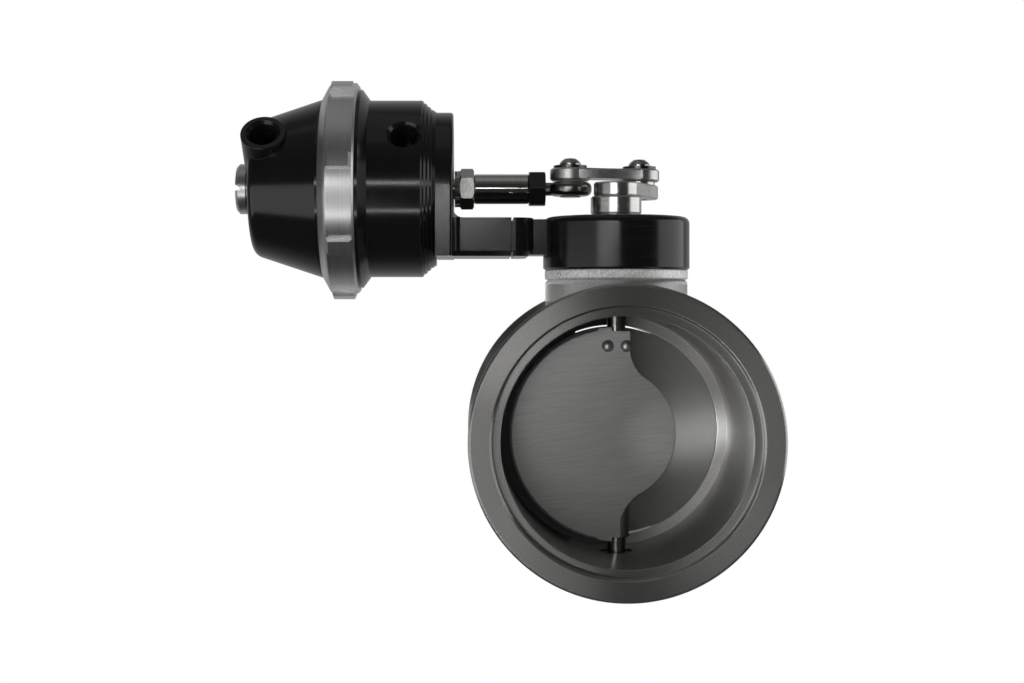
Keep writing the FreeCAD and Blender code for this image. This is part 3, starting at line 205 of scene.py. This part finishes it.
@dataclass
class GroupShelf:
    """The node groups that the finishes share, each built once."""

    made: dict[str, bpy.types.NodeTree] = field(default_factory=dict)

    def get(self, name: str, inputs: Sequence[tuple[str, str, object]], outputs: Sequence[str],
            wire: Callable[[Bench, bpy.types.Node, bpy.types.Node], None]) -> bpy.types.NodeTree:
        """Gives a group, and builds it the first time.

        Args:
            name: The group's name.
            inputs: Name, socket type and default of each input.
            outputs: The names of the value outputs.
            wire: The function that joins the group's nodes.

        Returns:
            The group's node tree.
        """
        if name not in self.made:
            tree = bpy.data.node_groups.new(name, "ShaderNodeTree")
            for label, kind, default in inputs:
                socket = tree.interface.new_socket(name=label, in_out="INPUT", socket_type=kind)
                if default is not None:
                    socket.default_value = default
            for label in outputs:
                tree.interface.new_socket(name=label, in_out="OUTPUT",
                                          socket_type="NodeSocketFloat")
            wire(Bench(tree), tree.nodes.new("NodeGroupInput"), tree.nodes.new("NodeGroupOutput"))
            self.made[name] = tree
        return self.made[name]

    def turned(self) -> bpy.types.NodeTree:
        """Gives fine tool lines that run round the Z axis of their coordinates.

        Returns:
            The group's node tree.
        """

        def wire(bench: Bench, given: bpy.types.Node, result: bpy.types.Node) -> None:
            """Joins the group's nodes."""
            parts = bench.add("SeparateXYZ")
            bench.feed(parts.inputs[0], given.outputs["Vector"])
            across = bench.math("SQRT", bench.math(
                "ADD",
                bench.math("MULTIPLY", parts.outputs["X"], parts.outputs["X"]),
                bench.math("MULTIPLY", parts.outputs["Y"], parts.outputs["Y"])))
            angle = bench.math("ARCTAN2", parts.outputs["Y"], parts.outputs["X"])
            scale = given.outputs["Lines"]
            place = bench.add("CombineXYZ")
            bench.feed(place.inputs["X"], bench.math("MULTIPLY", across, scale))
            bench.feed(place.inputs["Y"], bench.math("MULTIPLY", parts.outputs["Z"], scale))
            bench.feed(place.inputs["Z"], bench.math(
                "MULTIPLY", bench.math("ABSOLUTE", angle), LINE_BREAKS))
            fine = bench.noise(place.outputs[0], 1.0, 3.0)
            bench.feed(result.inputs["Height"], fine.outputs[0])
            bench.feed(result.inputs["Tone"], bench.step(fine.outputs[0], LINE_TONE))

        return self.get("Turned Lines", (PLACE_INPUT, LINES_INPUT), MARKS_OUTPUTS, wire)

    def brushed(self) -> bpy.types.NodeTree:
        """Gives fine straight scratches along the X axis of their coordinates.

        Returns:
            The group's node tree.
        """

        def wire(bench: Bench, given: bpy.types.Node, result: bpy.types.Node) -> None:
            """Joins the group's nodes."""
            stretch = bench.add("Mapping")
            bench.feed(stretch.inputs["Vector"], given.outputs["Vector"])
            stretch.inputs["Scale"].default_value = BRUSH_STRETCH
            fine = bench.noise(stretch.outputs[0], given.outputs["Lines"], 4.0)
            bench.feed(result.inputs["Height"], fine.outputs[0])
            bench.feed(result.inputs["Tone"], bench.step(fine.outputs[0], LINE_TONE))

        return self.get("Brushed Lines", (PLACE_INPUT, LINES_INPUT), MARKS_OUTPUTS, wire)

    def blasted(self) -> bpy.types.NodeTree:
        """Gives an even speckle, as bead blasting or plating leaves.

        Returns:
            The group's node tree.
        """

        def wire(bench: Bench, given: bpy.types.Node, result: bpy.types.Node) -> None:
            """Joins the group's nodes."""
            fine = bench.noise(given.outputs["Vector"], given.outputs["Lines"], 5.0)
            fine.inputs["Roughness"].default_value = SPECKLE_ROUGHNESS
            bench.feed(result.inputs["Height"], fine.outputs[0])
            bench.feed(result.inputs["Tone"], bench.step(fine.outputs[0], SPECKLE_TONE))

        return self.get("Blasted Speckle", (PLACE_INPUT, LINES_INPUT), MARKS_OUTPUTS, wire)

    def handling(self) -> bpy.types.NodeTree:
        """Gives soft clouds where hands and oil have changed the gloss a little.

        Returns:
            The group's node tree.
        """

        def wire(bench: Bench, given: bpy.types.Node, result: bpy.types.Node) -> None:
            """Joins the group's nodes."""
            clouds = bench.noise(given.outputs["Vector"], HANDLING_SCALE, 3.0)
            bench.feed(result.inputs["Mask"], bench.step(clouds.outputs[0], HANDLING_MASK))

        return self.get("Handling Marks", (PLACE_INPUT,), MASK_OUTPUTS, wire)

    def worn_and_highlit_edge(self) -> bpy.types.NodeTree:
        """Gives a mask along sharp edges, where the metal is burnished and where a painted
        highlight lightens them.

        Returns:
            The group's node tree.
        """

        def wire(bench: Bench, given: bpy.types.Node, result: bpy.types.Node) -> None:
            """Joins the group's nodes."""
            rounded = bench.add("Bevel", samples=BEVEL_SAMPLES)
            bench.feed(rounded.inputs["Radius"], given.outputs["Radius"])
            plain = bench.add("NewGeometry")
            compare = bench.add("VectorMath", operation="DOT_PRODUCT")
            bench.feed(compare.inputs[0], rounded.outputs[0])
            bench.feed(compare.inputs[1], plain.outputs["Normal"])
            bench.feed(result.inputs["Mask"], bench.step(compare.outputs["Value"], EDGE_MASK))

        return self.get("Worn Edge", (RADIUS_INPUT,), MASK_OUTPUTS, wire)


SHELF = GroupShelf()


class Band(NamedTuple):
    """A range along one axis, in millimetres."""

    axis: Axis
    low: float
    high: float


class Zone(NamedTuple):
    """A part of a piece with its own colour and roughness, where all of its bands meet."""

    bands: tuple[Band, ...]
    colour: Colour
    roughness: float


@dataclass(frozen=True)
class Finish:
    """One machined finish: its metal, its tool marks and its edges.

    Attributes:
        name: The material's name.
        colour: The metal's colour.
        roughness: The roughness under the marks.
        grain: The kind of tool marks.
        axis: The axis that turned marks and stretched highlights run round.
        centre: A point on that axis, in millimetres.
        metallic: The share of bare metal.
        lines: How fine the marks are, in noise cells per metre.
        depth: The marks' height in metres, or 0 for marks without relief.
        tone: How far the marks darken and lighten the colour.
        gloss_spread: How far the marks and handling change the roughness.
        tilt: The turn of brushed marks, in radians.
        anisotropy: How far highlights are stretched.
        edge: How far sharp edges take the edge's colour.
        edge_colour: The colour of sharp edges, partly burnished metal and partly a painted
            highlight.
        edge_radius: The radius that softens sharp edges, in metres.
        zones: Parts of the piece with their own colour and roughness.
        zone_anisotropy: How far highlights are stretched inside the zones.
    """

    name: str
    colour: Colour
    roughness: float
    grain: Grain
    axis: Axis = Axis.Z
    centre: Point = (0.0, 30.0, 0.0)
    metallic: float = 1.0
    lines: float = 5000.0
    depth: float = 0.00002
    tone: float = 0.12
    gloss_spread: float = 0.05
    tilt: float = 0.0
    anisotropy: float = 0.0
    edge: float = 0.0
    edge_colour: Colour = (0.8, 0.8, 0.8)
    edge_radius: float = 0.00015
    zones: tuple[Zone, ...] = ()
    zone_anisotropy: float = 0.0

    def mark(self, bench: Bench, place: bpy.types.NodeSocket) -> bpy.types.Node:
        """Adds the tool marks.

        Args:
            bench: The material's bench.
            place: Object coordinates.

        Returns:
            The group with the marks' height and tone.
        """
        turn = bench.add("Mapping", vector_type="TEXTURE")
        bench.feed(turn.inputs["Vector"], place)
        turn.inputs["Location"].default_value = tuple(value * MM for value in self.centre)
        if self.grain is Grain.TURNED:
            turn.inputs["Rotation"].default_value = TURN_TO_Z[self.axis]
        else:
            turn.inputs["Rotation"].default_value = (0.0, self.tilt, 0.0)
        group = {Grain.TURNED: SHELF.turned, Grain.BRUSHED: SHELF.brushed,
                 Grain.BLASTED: SHELF.blasted}[self.grain]
        marks = bench.add("Group", node_tree=group())
        bench.feed(marks.inputs["Vector"], turn.outputs[0])
        bench.feed(marks.inputs["Lines"], self.lines)
        return marks

    def shade(self, bench: Bench, tone: bpy.types.NodeSocket,
              colour: Colour) -> bpy.types.NodeSocket:
        """Darkens and lightens a colour with the marks.

        Args:
            bench: The material's bench.
            tone: The marks' tone.
            colour: The colour.

        Returns:
            The varied colour.
        """
        dark = tuple(value * (1.0 - self.tone) for value in colour)
        light = tuple(min(1.0, value * (1.0 + self.tone)) for value in colour)
        return bench.blend(tone, (*dark, 1.0), (*light, 1.0))

    def dull(self, bench: Bench, place: bpy.types.NodeSocket,
             tone: bpy.types.NodeSocket) -> bpy.types.NodeSocket:
        """Varies the roughness with the marks and with handling.

        Args:
            bench: The material's bench.
            place: Object coordinates.
            tone: The marks' tone.

        Returns:
            The roughness.
        """
        hands = bench.add("Group", node_tree=SHELF.handling())
        bench.feed(hands.inputs["Vector"], place)
        spread = Ramp(0.0, 1.0, self.roughness - self.gloss_spread, self.roughness)
        return bench.math("ADD", bench.math("MULTIPLY", tone, self.gloss_spread),
                          bench.step(hands.outputs["Mask"], spread))

    def mask(self, bench: Bench, place: bpy.types.NodeSocket, zone: Zone) -> bpy.types.NodeSocket:
        """Gives a mask that is 1 inside a zone.

        Args:
            bench: The material's bench.
            place: Object coordinates.
            zone: The zone.

        Returns:
            The mask.
        """
        parts = bench.add("SeparateXYZ")
        bench.feed(parts.inputs[0], place)
        mask: object = 1.0
        for axis, low, high in zone.bands:
            height = parts.outputs[axis.value]
            above = bench.step(height, Ramp((low - ZONE_SOFTNESS) * MM, (low + ZONE_SOFTNESS) * MM))
            below = bench.step(height, Ramp((high - ZONE_SOFTNESS) * MM,
                                            (high + ZONE_SOFTNESS) * MM, 1.0, 0.0))
            mask = bench.math("MULTIPLY", mask, bench.math("MULTIPLY", above, below))
        return mask

    def soften(self, bench: Bench, height: bpy.types.NodeSocket) -> bpy.types.NodeSocket:
        """Rounds the sharp edges and adds the marks' relief.

        Args:
            bench: The material's bench.
            height: The marks' height.

        Returns:
            The normal.
        """
        rounded = bench.add("Bevel", samples=BEVEL_SAMPLES)
        rounded.inputs["Radius"].default_value = self.edge_radius
        if self.depth <= 0.0:
            return rounded.outputs[0]
        bump = bench.add("Bump")
        bump.inputs["Strength"].default_value = 1.0
        bump.inputs["Distance"].default_value = self.depth
        bench.feed(bump.inputs["Height"], height)
        bench.feed(bump.inputs["Normal"], rounded.outputs[0])
        return bump.outputs[0]

    def build(self) -> bpy.types.Material:
        """Makes the finish's material.

        Returns:
            The material.
        """
        material = bpy.data.materials.new(self.name)
        material.use_nodes = True
        material.diffuse_color = (*self.colour, 1.0)
        bench = Bench(material.node_tree)
        shader = material.node_tree.nodes["Principled BSDF"]
        place = bench.add("TexCoord").outputs["Object"]
        marks = self.mark(bench, place)
        tone = marks.outputs["Tone"]
        colour = self.shade(bench, tone, self.colour)
        roughness = self.dull(bench, place, tone)
        shader.inputs["Anisotropic"].default_value = self.anisotropy
        for zone in self.zones:
            mask = self.mask(bench, place, zone)
            colour = bench.blend(mask, colour, self.shade(bench, tone, zone.colour))
            outside = bench.math("MULTIPLY", roughness, bench.math("SUBTRACT", 1.0, mask))
            inside = bench.math("MULTIPLY", mask, zone.roughness)
            roughness = bench.math("ADD", outside, inside)
            if self.zone_anisotropy > 0.0:
                bench.feed(shader.inputs["Anisotropic"],
                           bench.math("MULTIPLY", mask, self.zone_anisotropy))
        # Sharp edges blend towards the edge colour: partly burnished metal, partly a painted
        # highlight where chamfers catch the light.
        if self.edge > 0.0:
            edges = bench.add("Group", node_tree=SHELF.worn_and_highlit_edge())
            edges.inputs["Radius"].default_value = self.edge_radius
            worn_and_highlit = bench.math("MULTIPLY", edges.outputs["Mask"], self.edge)
            colour = bench.blend(worn_and_highlit, colour, (*self.edge_colour, 1.0))
        bench.feed(shader.inputs["Base Color"], colour)
        bench.feed(shader.inputs["Roughness"], roughness)
        bench.feed(shader.inputs["Normal"], self.soften(bench, marks.outputs["Height"]))
        shader.inputs["Metallic"].default_value = self.metallic
        if self.anisotropy > 0.0 or self.zone_anisotropy > 0.0:
            shader.inputs["Anisotropic Rotation"].default_value = ANISOTROPY_TURN
            tangent = bench.add("Tangent", direction_type="RADIAL", axis=self.axis.value)
            bench.feed(shader.inputs["Tangent"], tangent.outputs[0])
        return material


def dress(finish: Finish, nodes: Sequence[str]) -> None:
    """Gives a finish to CAD nodes.

    Args:
        finish: The finish.
        nodes: The names of the nodes.
    """
    material = finish.build()
    for name in nodes:
        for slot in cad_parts[name].material_slots:
            slot.material = material
    LOG.info("%s on %s", finish.name, ", ".join(nodes))


ROD_Y = 37.4
ROD_Z = 58.8
ROD_LINE = (0.0, ROD_Y, ROD_Z)
EYE_CENTRE = (-10.5, ROD_Y, ROD_Z)
PLATE_FRONT = (0.0, 27.0, 0.0)
PIN_CENTRE = (0.0, 27.0, 20.9)

BLACK: Colour = (0.005, 0.005, 0.0052)
# The edges of black parts, lightened partly by wear and partly by a painted highlight.
BLACK_EDGE: Colour = (0.05, 0.05, 0.05)
STEEL: Colour = (0.62, 0.615, 0.6)
DARK_STEEL: Colour = (0.42, 0.415, 0.405)
PLATE_STEEL: Colour = (0.62, 0.62, 0.61)

NECK = Zone((Band(Axis.Z, 31.45, 36.9), Band(Axis.Y, 12.5, 47.5)), (0.92, 0.91, 0.89), 0.65)
FOOT = Zone((Band(Axis.Z, -40.0, -31.45), Band(Axis.Y, 20.0, 40.0)), (0.5, 0.5, 0.48), 0.42)
CONE = Zone((Band(Axis.Y, 27.3, 60.0),), PLATE_STEEL, 0.46)


@dataclass
class ValveHousing:
    """The turned casting, its bushes, the spacer on its neck and its foot."""

    cast: Finish = Finish(
        "turned_casting", DARK_STEEL, 0.3, Grain.BLASTED, Axis.Y, lines=3200.0, tone=0.13,
        gloss_spread=0.0, anisotropy=0.9, depth=0.0, edge=0.7, edge_colour=(0.95, 0.95, 0.94),
        edge_radius=0.0003, zones=(NECK, FOOT))
    plated: Finish = Finish(
        "speckled_zinc", (0.95, 0.95, 0.93), 0.5, Grain.BLASTED, metallic=0.3, lines=1400.0,
        tone=0.3, gloss_spread=0.25, depth=0.00003, edge=0.5)
    bronze: Finish = Finish("sintered_bronze", (0.36, 0.32, 0.27), 0.45, Grain.BLASTED,
                            lines=3500.0)

    def dress(self) -> None:
        """Gives the housing's nodes their finishes."""
        dress(self.cast, ["valve_body", "lower_plug"])
        dress(self.plated, ["insulating_spacer"])
        dress(self.bronze, ["upper_bush", "lower_bush", "guide_bush"])


@dataclass
class Throttle:
    """The plate with its cone, its pins and its shaft."""

    face: Finish = Finish(
        "brushed_plate", PLATE_STEEL, 0.29, Grain.BRUSHED, Axis.Y, PLATE_FRONT, lines=7000.0,
        tone=0.1, gloss_spread=0.0, depth=0.0, tilt=math.radians(-8.0), edge=0.3, zones=(CONE,),
        zone_anisotropy=0.93)
    pins: Finish = Finish("pin_heads", PLATE_STEEL, 0.38, Grain.TURNED, Axis.Y, PIN_CENTRE)
    shaft: Finish = Finish("ground_shaft", STEEL, 0.16, Grain.TURNED, Axis.Z, lines=6000.0,
                           depth=0.00001)

    def dress(self) -> None:
        """Gives the plate's nodes their finishes."""
        dress(self.face, ["valve_plate"])
        dress(self.pins, ["plate_pins"])
        dress(self.shaft, ["valve_shaft"])


@dataclass
class Bracket:
    """The black head, arm and carrier plate, with their screws, and all the rubber."""

    satin: Finish = Finish(
        "black_bracket", BLACK, 0.18, Grain.TURNED, Axis.Z, metallic=0.0, lines=5200.0, tone=0.5,
        gloss_spread=0.06, depth=0.000003, edge=0.35, edge_colour=BLACK_EDGE)
    oxide: Finish = Finish("black_oxide", (0.025, 0.025, 0.026), 0.3, Grain.BLASTED, metallic=0.6,
                           lines=3000.0)
    rubber: Finish = Finish("seal_rubber", (0.02, 0.02, 0.02), 0.6, Grain.BLASTED, metallic=0.0,
                            lines=3000.0)

    def dress(self) -> None:
        """Gives the bracket's nodes and the seals their finishes."""
        dress(self.satin, ["bracket"])
        dress(self.oxide, ["head_screws", "disc_screws", "collar_grub_screw"])
        dress(self.rubber, ["shaft_seal", "rod_seal", "diaphragm"])


@dataclass
class Port:
    """A threaded port, in millimetres.

    Attributes:
        name: The name of the thread's ridge.
        mouth: The centre of the port's mouth.
        out: The way out of the port.
        bore: The radius of the port's bore.
        start: How far behind the mouth the thread starts.
        turns: The number of the thread's turns.
        pitch: The thread's pitch.
        crest: The radius of the circle round the ridge's three corners.
        sink: How far the ridge's middle lies inside the wall.
    """

    name: str
    mouth: Point
    out: Point
    bore: float
    start: float
    turns: int
    pitch: float = 0.9
    crest: float = 0.42
    sink: float = 0.12

    def cut_thread(self, finish: bpy.types.Material) -> bpy.types.Object:
        """Models the helical ridge of the port's thread.

        Args:
            finish: The ridge's material.

        Returns:
            The ridge.
        """
        quarter = math.radians(90)
        middle = (0.0, 0.0, 0.0)
        bpy.ops.object.select_all(action="DESELECT")
        bpy.ops.mesh.primitive_circle_add(vertices=3, radius=self.crest * MM, fill_type="NOTHING")
        ridge = bpy.context.object
        ridge.name = self.name
        bpy.ops.object.mode_set(mode="EDIT")
        bpy.ops.mesh.select_all(action="SELECT")
        bpy.ops.transform.rotate(value=quarter, orient_axis="Z", center_override=middle)
        bpy.ops.transform.rotate(value=quarter, orient_axis="X", center_override=middle)
        bpy.ops.transform.translate(value=((self.bore + self.sink) * MM, 0.0, 0.0))
        bpy.ops.object.mode_set(mode="OBJECT")
        screw = ridge.modifiers.new("thread", "SCREW")
        screw.axis = "Z"
        screw.angle = math.radians(360)
        screw.screw_offset = self.pitch * MM
        screw.iterations = self.turns
        screw.steps = screw.render_steps = 32
        screw.use_merge_vertices = True
        bpy.ops.object.modifier_apply(modifier=screw.name)
        bpy.ops.object.mode_set(mode="EDIT")
        bpy.ops.mesh.select_all(action="SELECT")
        bpy.ops.mesh.fill_holes(sides=4)
        bpy.ops.mesh.select_all(action="SELECT")
        bpy.ops.mesh.normals_make_consistent(inside=False)
        bpy.ops.object.mode_set(mode="OBJECT")
        way = Vector(self.out).normalized()
        inner_end = self.start + self.turns * self.pitch
        seat = Matrix.Translation((Vector(self.mouth) - way * inner_end) * MM)
        ridge.data.transform(seat @ way.to_track_quat("Z", "Y").to_matrix().to_4x4())
        ridge.data.materials.append(finish)
        bpy.ops.object.shade_smooth_by_angle(angle=math.radians(30))
        return ridge


@dataclass
class Actuator:
    """The canister: body, cap, collar, plug and what is inside them."""

    satin: Finish = Finish(
        "black_canister", BLACK, 0.16, Grain.TURNED, Axis.X, ROD_LINE, metallic=0.0, lines=5200.0,
        tone=0.2, gloss_spread=0.02, depth=0.0000015, edge=0.3, edge_colour=BLACK_EDGE)
    silver: Finish = Finish(
        "satin_collar", (0.7, 0.7, 0.695), 0.36, Grain.TURNED, Axis.X, ROD_LINE, lines=3600.0,
        tone=0.05, anisotropy=0.5, depth=0.000002, edge=0.6, edge_colour=(0.92, 0.92, 0.92))
    wire: Finish = Finish("spring_wire", (0.42, 0.42, 0.42), 0.3, Grain.BLASTED, lines=3000.0)
    ports: tuple[Port, ...] = (
        Port("body_port_thread", (-50.1, 19.62, 70.35), (0.0, -0.838671, 0.544639),
             bore=3.4, start=0.9, turns=6),
        Port("cap_port_thread", (-83.3, 22.06, 71.0), (0.0, -0.782608, 0.622515),
             bore=3.4, start=0.9, turns=5),
    )

    def dress(self) -> None:
        """Gives the canister's nodes their finishes and cuts the ports' threads."""
        dress(self.satin, ["actuator_body", "spring_cap"])
        dress(self.silver, ["retaining_collar", "end_plug", "piston", "spring_seat"])
        dress(self.wire, ["outer_spring", "inner_spring"])
        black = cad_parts["actuator_body"].material_slots[0].material
        for port in self.ports:
            ridge = port.cut_thread(black)
            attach(ridge, "housing")
            LOG.info("cut %s", ridge.name)


@dataclass
class RodLine:
    """The rod with its nuts, coupler, eye and ball."""

    polished: Finish = Finish("polished_sleeve", STEEL, 0.1, Grain.TURNED, Axis.X, ROD_LINE,
                              lines=6000.0, depth=0.000002, tone=0.06, edge=0.4)
    nut: Finish = Finish("plated_nut", (0.5, 0.49, 0.47), 0.3, Grain.BLASTED, lines=2600.0,
                         tone=0.12, edge=0.6)
    black: Finish = Finish("black_nut", (0.035, 0.035, 0.036), 0.22, Grain.BLASTED, metallic=0.7,
                           lines=2600.0, edge=0.5, edge_colour=(0.25, 0.25, 0.25))
    eye: Finish = Finish("dark_eye", (0.27, 0.265, 0.255), 0.24, Grain.TURNED, Axis.Z, EYE_CENTRE,
                         lines=4000.0, tone=0.1)
    ball: Finish = Finish("ball_steel", (0.68, 0.68, 0.67), 0.14, Grain.TURNED, Axis.Z, EYE_CENTRE,
                          lines=5000.0)

    def dress(self) -> None:
        """Gives the rod's nodes their finishes."""
        dress(self.polished, ["coupler_sleeve", "actuator_rod"])
        dress(self.nut, ["lock_nut", "toothed_washer", "piston_nut"])
        dress(self.black, ["rod_end_nut"])
        dress(self.eye, ["rod_end"])
        dress(self.ball, ["rod_end_ball"])


@dataclass
class Linkage:
    """The shaft's collar, the lever, the link and their screws."""

    turned: Finish = Finish("turned_lever", STEEL, 0.24, Grain.TURNED, Axis.Z, lines=5200.0,
                            depth=0.000002, tone=0.06, edge=0.5)
    brushed: Finish = Finish("brushed_link", (0.62, 0.61, 0.6), 0.34, Grain.BRUSHED, lines=4200.0,
                             tone=0.2, depth=0.000006, edge=0.5)
    screws: Finish = Finish("domed_screws", DARK_STEEL, 0.17, Grain.BLASTED, lines=2600.0, edge=0.5)
    washers: Finish = Finish("dark_washers", (0.12, 0.12, 0.118), 0.2, Grain.BLASTED, lines=2600.0,
                             edge=0.5)

    def dress(self) -> None:
        """Gives the linkage's nodes their finishes."""
        dress(self.turned, ["shaft_collar", "lever", "pivot_spacer", "thrust_washer"])
        dress(self.brushed, ["link_plate"])
        dress(self.screws, ["lever_screw", "pivot_screw", "link_screw"])
        dress(self.washers, ["pivot_washer", "link_washer"])


@dataclass(frozen=True)
class Lamp:
    """A lamp: its name, where it stands, where it points and how bright its face is."""

    name: str
    place: Point
    target: Point
    brightness: float

    def make_light(self) -> bpy.types.Light:
        """Makes the lamp's light.

        Returns:
            The light.
        """
        raise NotImplementedError

    def hang(self) -> bpy.types.Object:
        """Adds the lamp and points it.

        Returns:
            The lamp's object.
        """
        lamp = bpy.data.objects.new(self.name, self.make_light())
        bpy.context.scene.collection.objects.link(lamp)
        turn = (Vector(self.target) - Vector(self.place)).to_track_quat("-Z", "Y")
        lamp.matrix_world = Matrix.Translation(self.place) @ turn.to_matrix().to_4x4()
        lamp.visible_camera = False
        return lamp


@dataclass(frozen=True)
class Softbox(Lamp):
    """A soft lamp with a rectangular face, its sides in metres."""

    width: float
    height: float

    def make_light(self) -> bpy.types.Light:
        """Makes the lamp's light.

        Returns:
            The light.
        """
        light = bpy.data.lights.new(self.name, "AREA")
        light.shape = "RECTANGLE"
        light.size = self.width
        light.size_y = self.height
        light.energy = self.brightness * math.pi * self.width * self.height
        return light


@dataclass(frozen=True)
class Snoot(Lamp):
    """A lamp with a narrow beam: its radius in metres, its beam in radians and the beam's blur."""

    radius: float
    beam: float
    blur: float

    def make_light(self) -> bpy.types.Light:
        """Makes the lamp's light.

        Returns:
            The light.
        """
        light = bpy.data.lights.new(self.name, "SPOT")
        light.shadow_soft_size = self.radius
        light.spot_size = self.beam
        light.spot_blend = self.blur
        light.energy = self.brightness * (2.0 * math.pi * self.radius) ** 2
        return light


@dataclass(frozen=True)
class Viewpoint:
    """The camera that the photograph was fitted with; lengths in metres, lens in millimetres."""

    name: str = "photograph"
    place: Point = (-0.03473, -0.364, 0.03069)
    lens: float = 58.0
    sensor: float = 36.0
    shift_x: float = 0.0404
    shift_y: float = -0.0359
    clip_start: float = 0.01

    def place_camera(self) -> bpy.types.Object:
        """Adds the camera and looks through it.

        Returns:
            The camera.
        """
        data = bpy.data.cameras.new(self.name)
        data.sensor_width = self.sensor
        data.lens = self.lens
        data.shift_x = self.shift_x
        data.shift_y = self.shift_y
        data.clip_start = self.clip_start
        camera = bpy.data.objects.new(self.name, data)
        camera.location = self.place
        camera.rotation_euler = (math.pi / 2, 0.0, 0.0)
        bpy.context.scene.collection.objects.link(camera)
        bpy.context.scene.camera = camera
        return camera


@dataclass
class Studio:
    """The white floor, the surroundings, the lamps and the camera.

    Attributes:
        floor_z: The floor's height, just under the flanges.
        floor_size: The floor's side.
        behind: The strength that reflections see, from in front of the valve to behind it.
        above: The strength that reflections see, from its height to above it.
        ambient: The strength for all light that isn't a reflection.
        lamps: The lamps.
        viewpoint: The camera.
    """

    floor_z: float = -0.0357
    floor_size: float = 6.0
    behind: Ramp = Ramp(0.1, 0.95, 0.03, 0.4)
    above: Ramp = Ramp(0.3, 0.95, 0.0, 0.1)
    ambient: float = 0.45
    lamps: tuple[Lamp, ...] = (
        Softbox("upper_strip", (-0.3, -0.9, 0.124), (-0.3, 0.0, 0.124), 11.0, 0.6, 0.035),
        Softbox("lower_strip", (-0.3, -0.9, -0.51), (-0.3, 0.0, -0.4), 11.0, 0.6, 0.035),
        Softbox("left_window", (-0.92, -0.78, -0.28), (0.0, 0.0, 0.03), 1.0, 2.1, 0.8),
        Softbox("right_window", (1.1, 0.1, 0.1), (0.0, 0.0, 0.03), 1.2, 1.3, 0.8),
        Softbox("overhead", (-0.2, -0.1, 1.1), (0.0, 0.03, 0.0), 0.12, 0.9, 0.7),
        Snoot("bore_spot", (-0.43, -0.9, -0.06), (0.0165, 0.035, 0.0), 24000.0, 0.004,
              math.radians(1.0), 0.3),
    )
    viewpoint: Viewpoint = Viewpoint()

    def light_world(self) -> None:
        """Sets the surroundings: white to the camera, dark in front and light behind to gloss."""
        world = bpy.data.worlds.new("studio")
        bpy.context.scene.world = world
        world.use_nodes = True
        bench = Bench(world.node_tree)
        world.node_tree.nodes.clear()
        rays = bench.add("LightPath")
        glossy = rays.outputs["Is Glossy Ray"]
        room = bench.add("SeparateXYZ")
        bench.feed(room.inputs[0], bench.add("TexCoord").outputs["Generated"])
        gloss = bench.math("MAXIMUM", bench.step(room.outputs["Y"], self.behind),
                           bench.step(room.outputs["Z"], self.above))
        rest = bench.math("MULTIPLY", bench.math("SUBTRACT", 1.0, glossy), self.ambient)
        strength = bench.math("ADD", bench.math("MULTIPLY", glossy, gloss), rest)
        seen = bench.math("MAXIMUM", rays.outputs["Is Camera Ray"],
                          rays.outputs["Is Transmission Ray"])
        shader = bench.add("Background")
        bench.feed(shader.inputs["Color"], WHITE)
        bench.feed(shader.inputs["Strength"], bench.math("MAXIMUM", strength, seen))
        bench.feed(bench.add("OutputWorld").inputs["Surface"], shader.outputs[0])

    def lay_floor(self) -> bpy.types.Object:
        """Lays the floor that the valve stands on, pure white to the camera.

        Returns:
            The floor.
        """
        bpy.ops.object.select_all(action="DESELECT")
        bpy.ops.mesh.primitive_plane_add(size=self.floor_size, location=(0.0, 0.0, self.floor_z))
        floor = bpy.context.object
        floor.name = "floor"
        material = bpy.data.materials.new("white_floor")
        material.use_nodes = True
        nodes = material.node_tree.nodes
        bench = Bench(material.node_tree)
        paint = nodes["Principled BSDF"]
        paint.inputs["Base Color"].default_value = (0.85, 0.85, 0.85, 1.0)
        paint.inputs["Roughness"].default_value = 0.9
        glow = bench.add("Emission")
        glow.inputs["Color"].default_value = WHITE
        glow.inputs["Strength"].default_value = 1.0
        mix = bench.add("MixShader")
        bench.feed(mix.inputs[0], bench.add("LightPath").outputs["Is Camera Ray"])
        bench.feed(mix.inputs[1], paint.outputs[0])
        bench.feed(mix.inputs[2], glow.outputs[0])
        bench.feed(nodes["Material Output"].inputs["Surface"], mix.outputs[0])
        floor.data.materials.append(material)
        floor.visible_glossy = False
        floor.visible_shadow = False
        return floor

    def set_up(self) -> None:
        """Builds the whole studio."""
        self.light_world()
        self.lay_floor()
        for lamp in self.lamps:
            lamp.hang()
        self.viewpoint.place_camera()
        bpy.context.scene.view_settings.view_transform = "Standard"
        LOG.info("studio with %d lamps", len(self.lamps))


def main() -> None:
    """Builds the studio and dresses the valve, assembly by assembly."""
    logging.basicConfig(level=logging.INFO, format="%(name)s: %(message)s")
    Studio().set_up()
    for assembly in (ValveHousing(), Throttle(), Bracket(), Actuator(), RodLine(), Linkage()):
        assembly.dress()


if __name__ == "__main__":
    main()
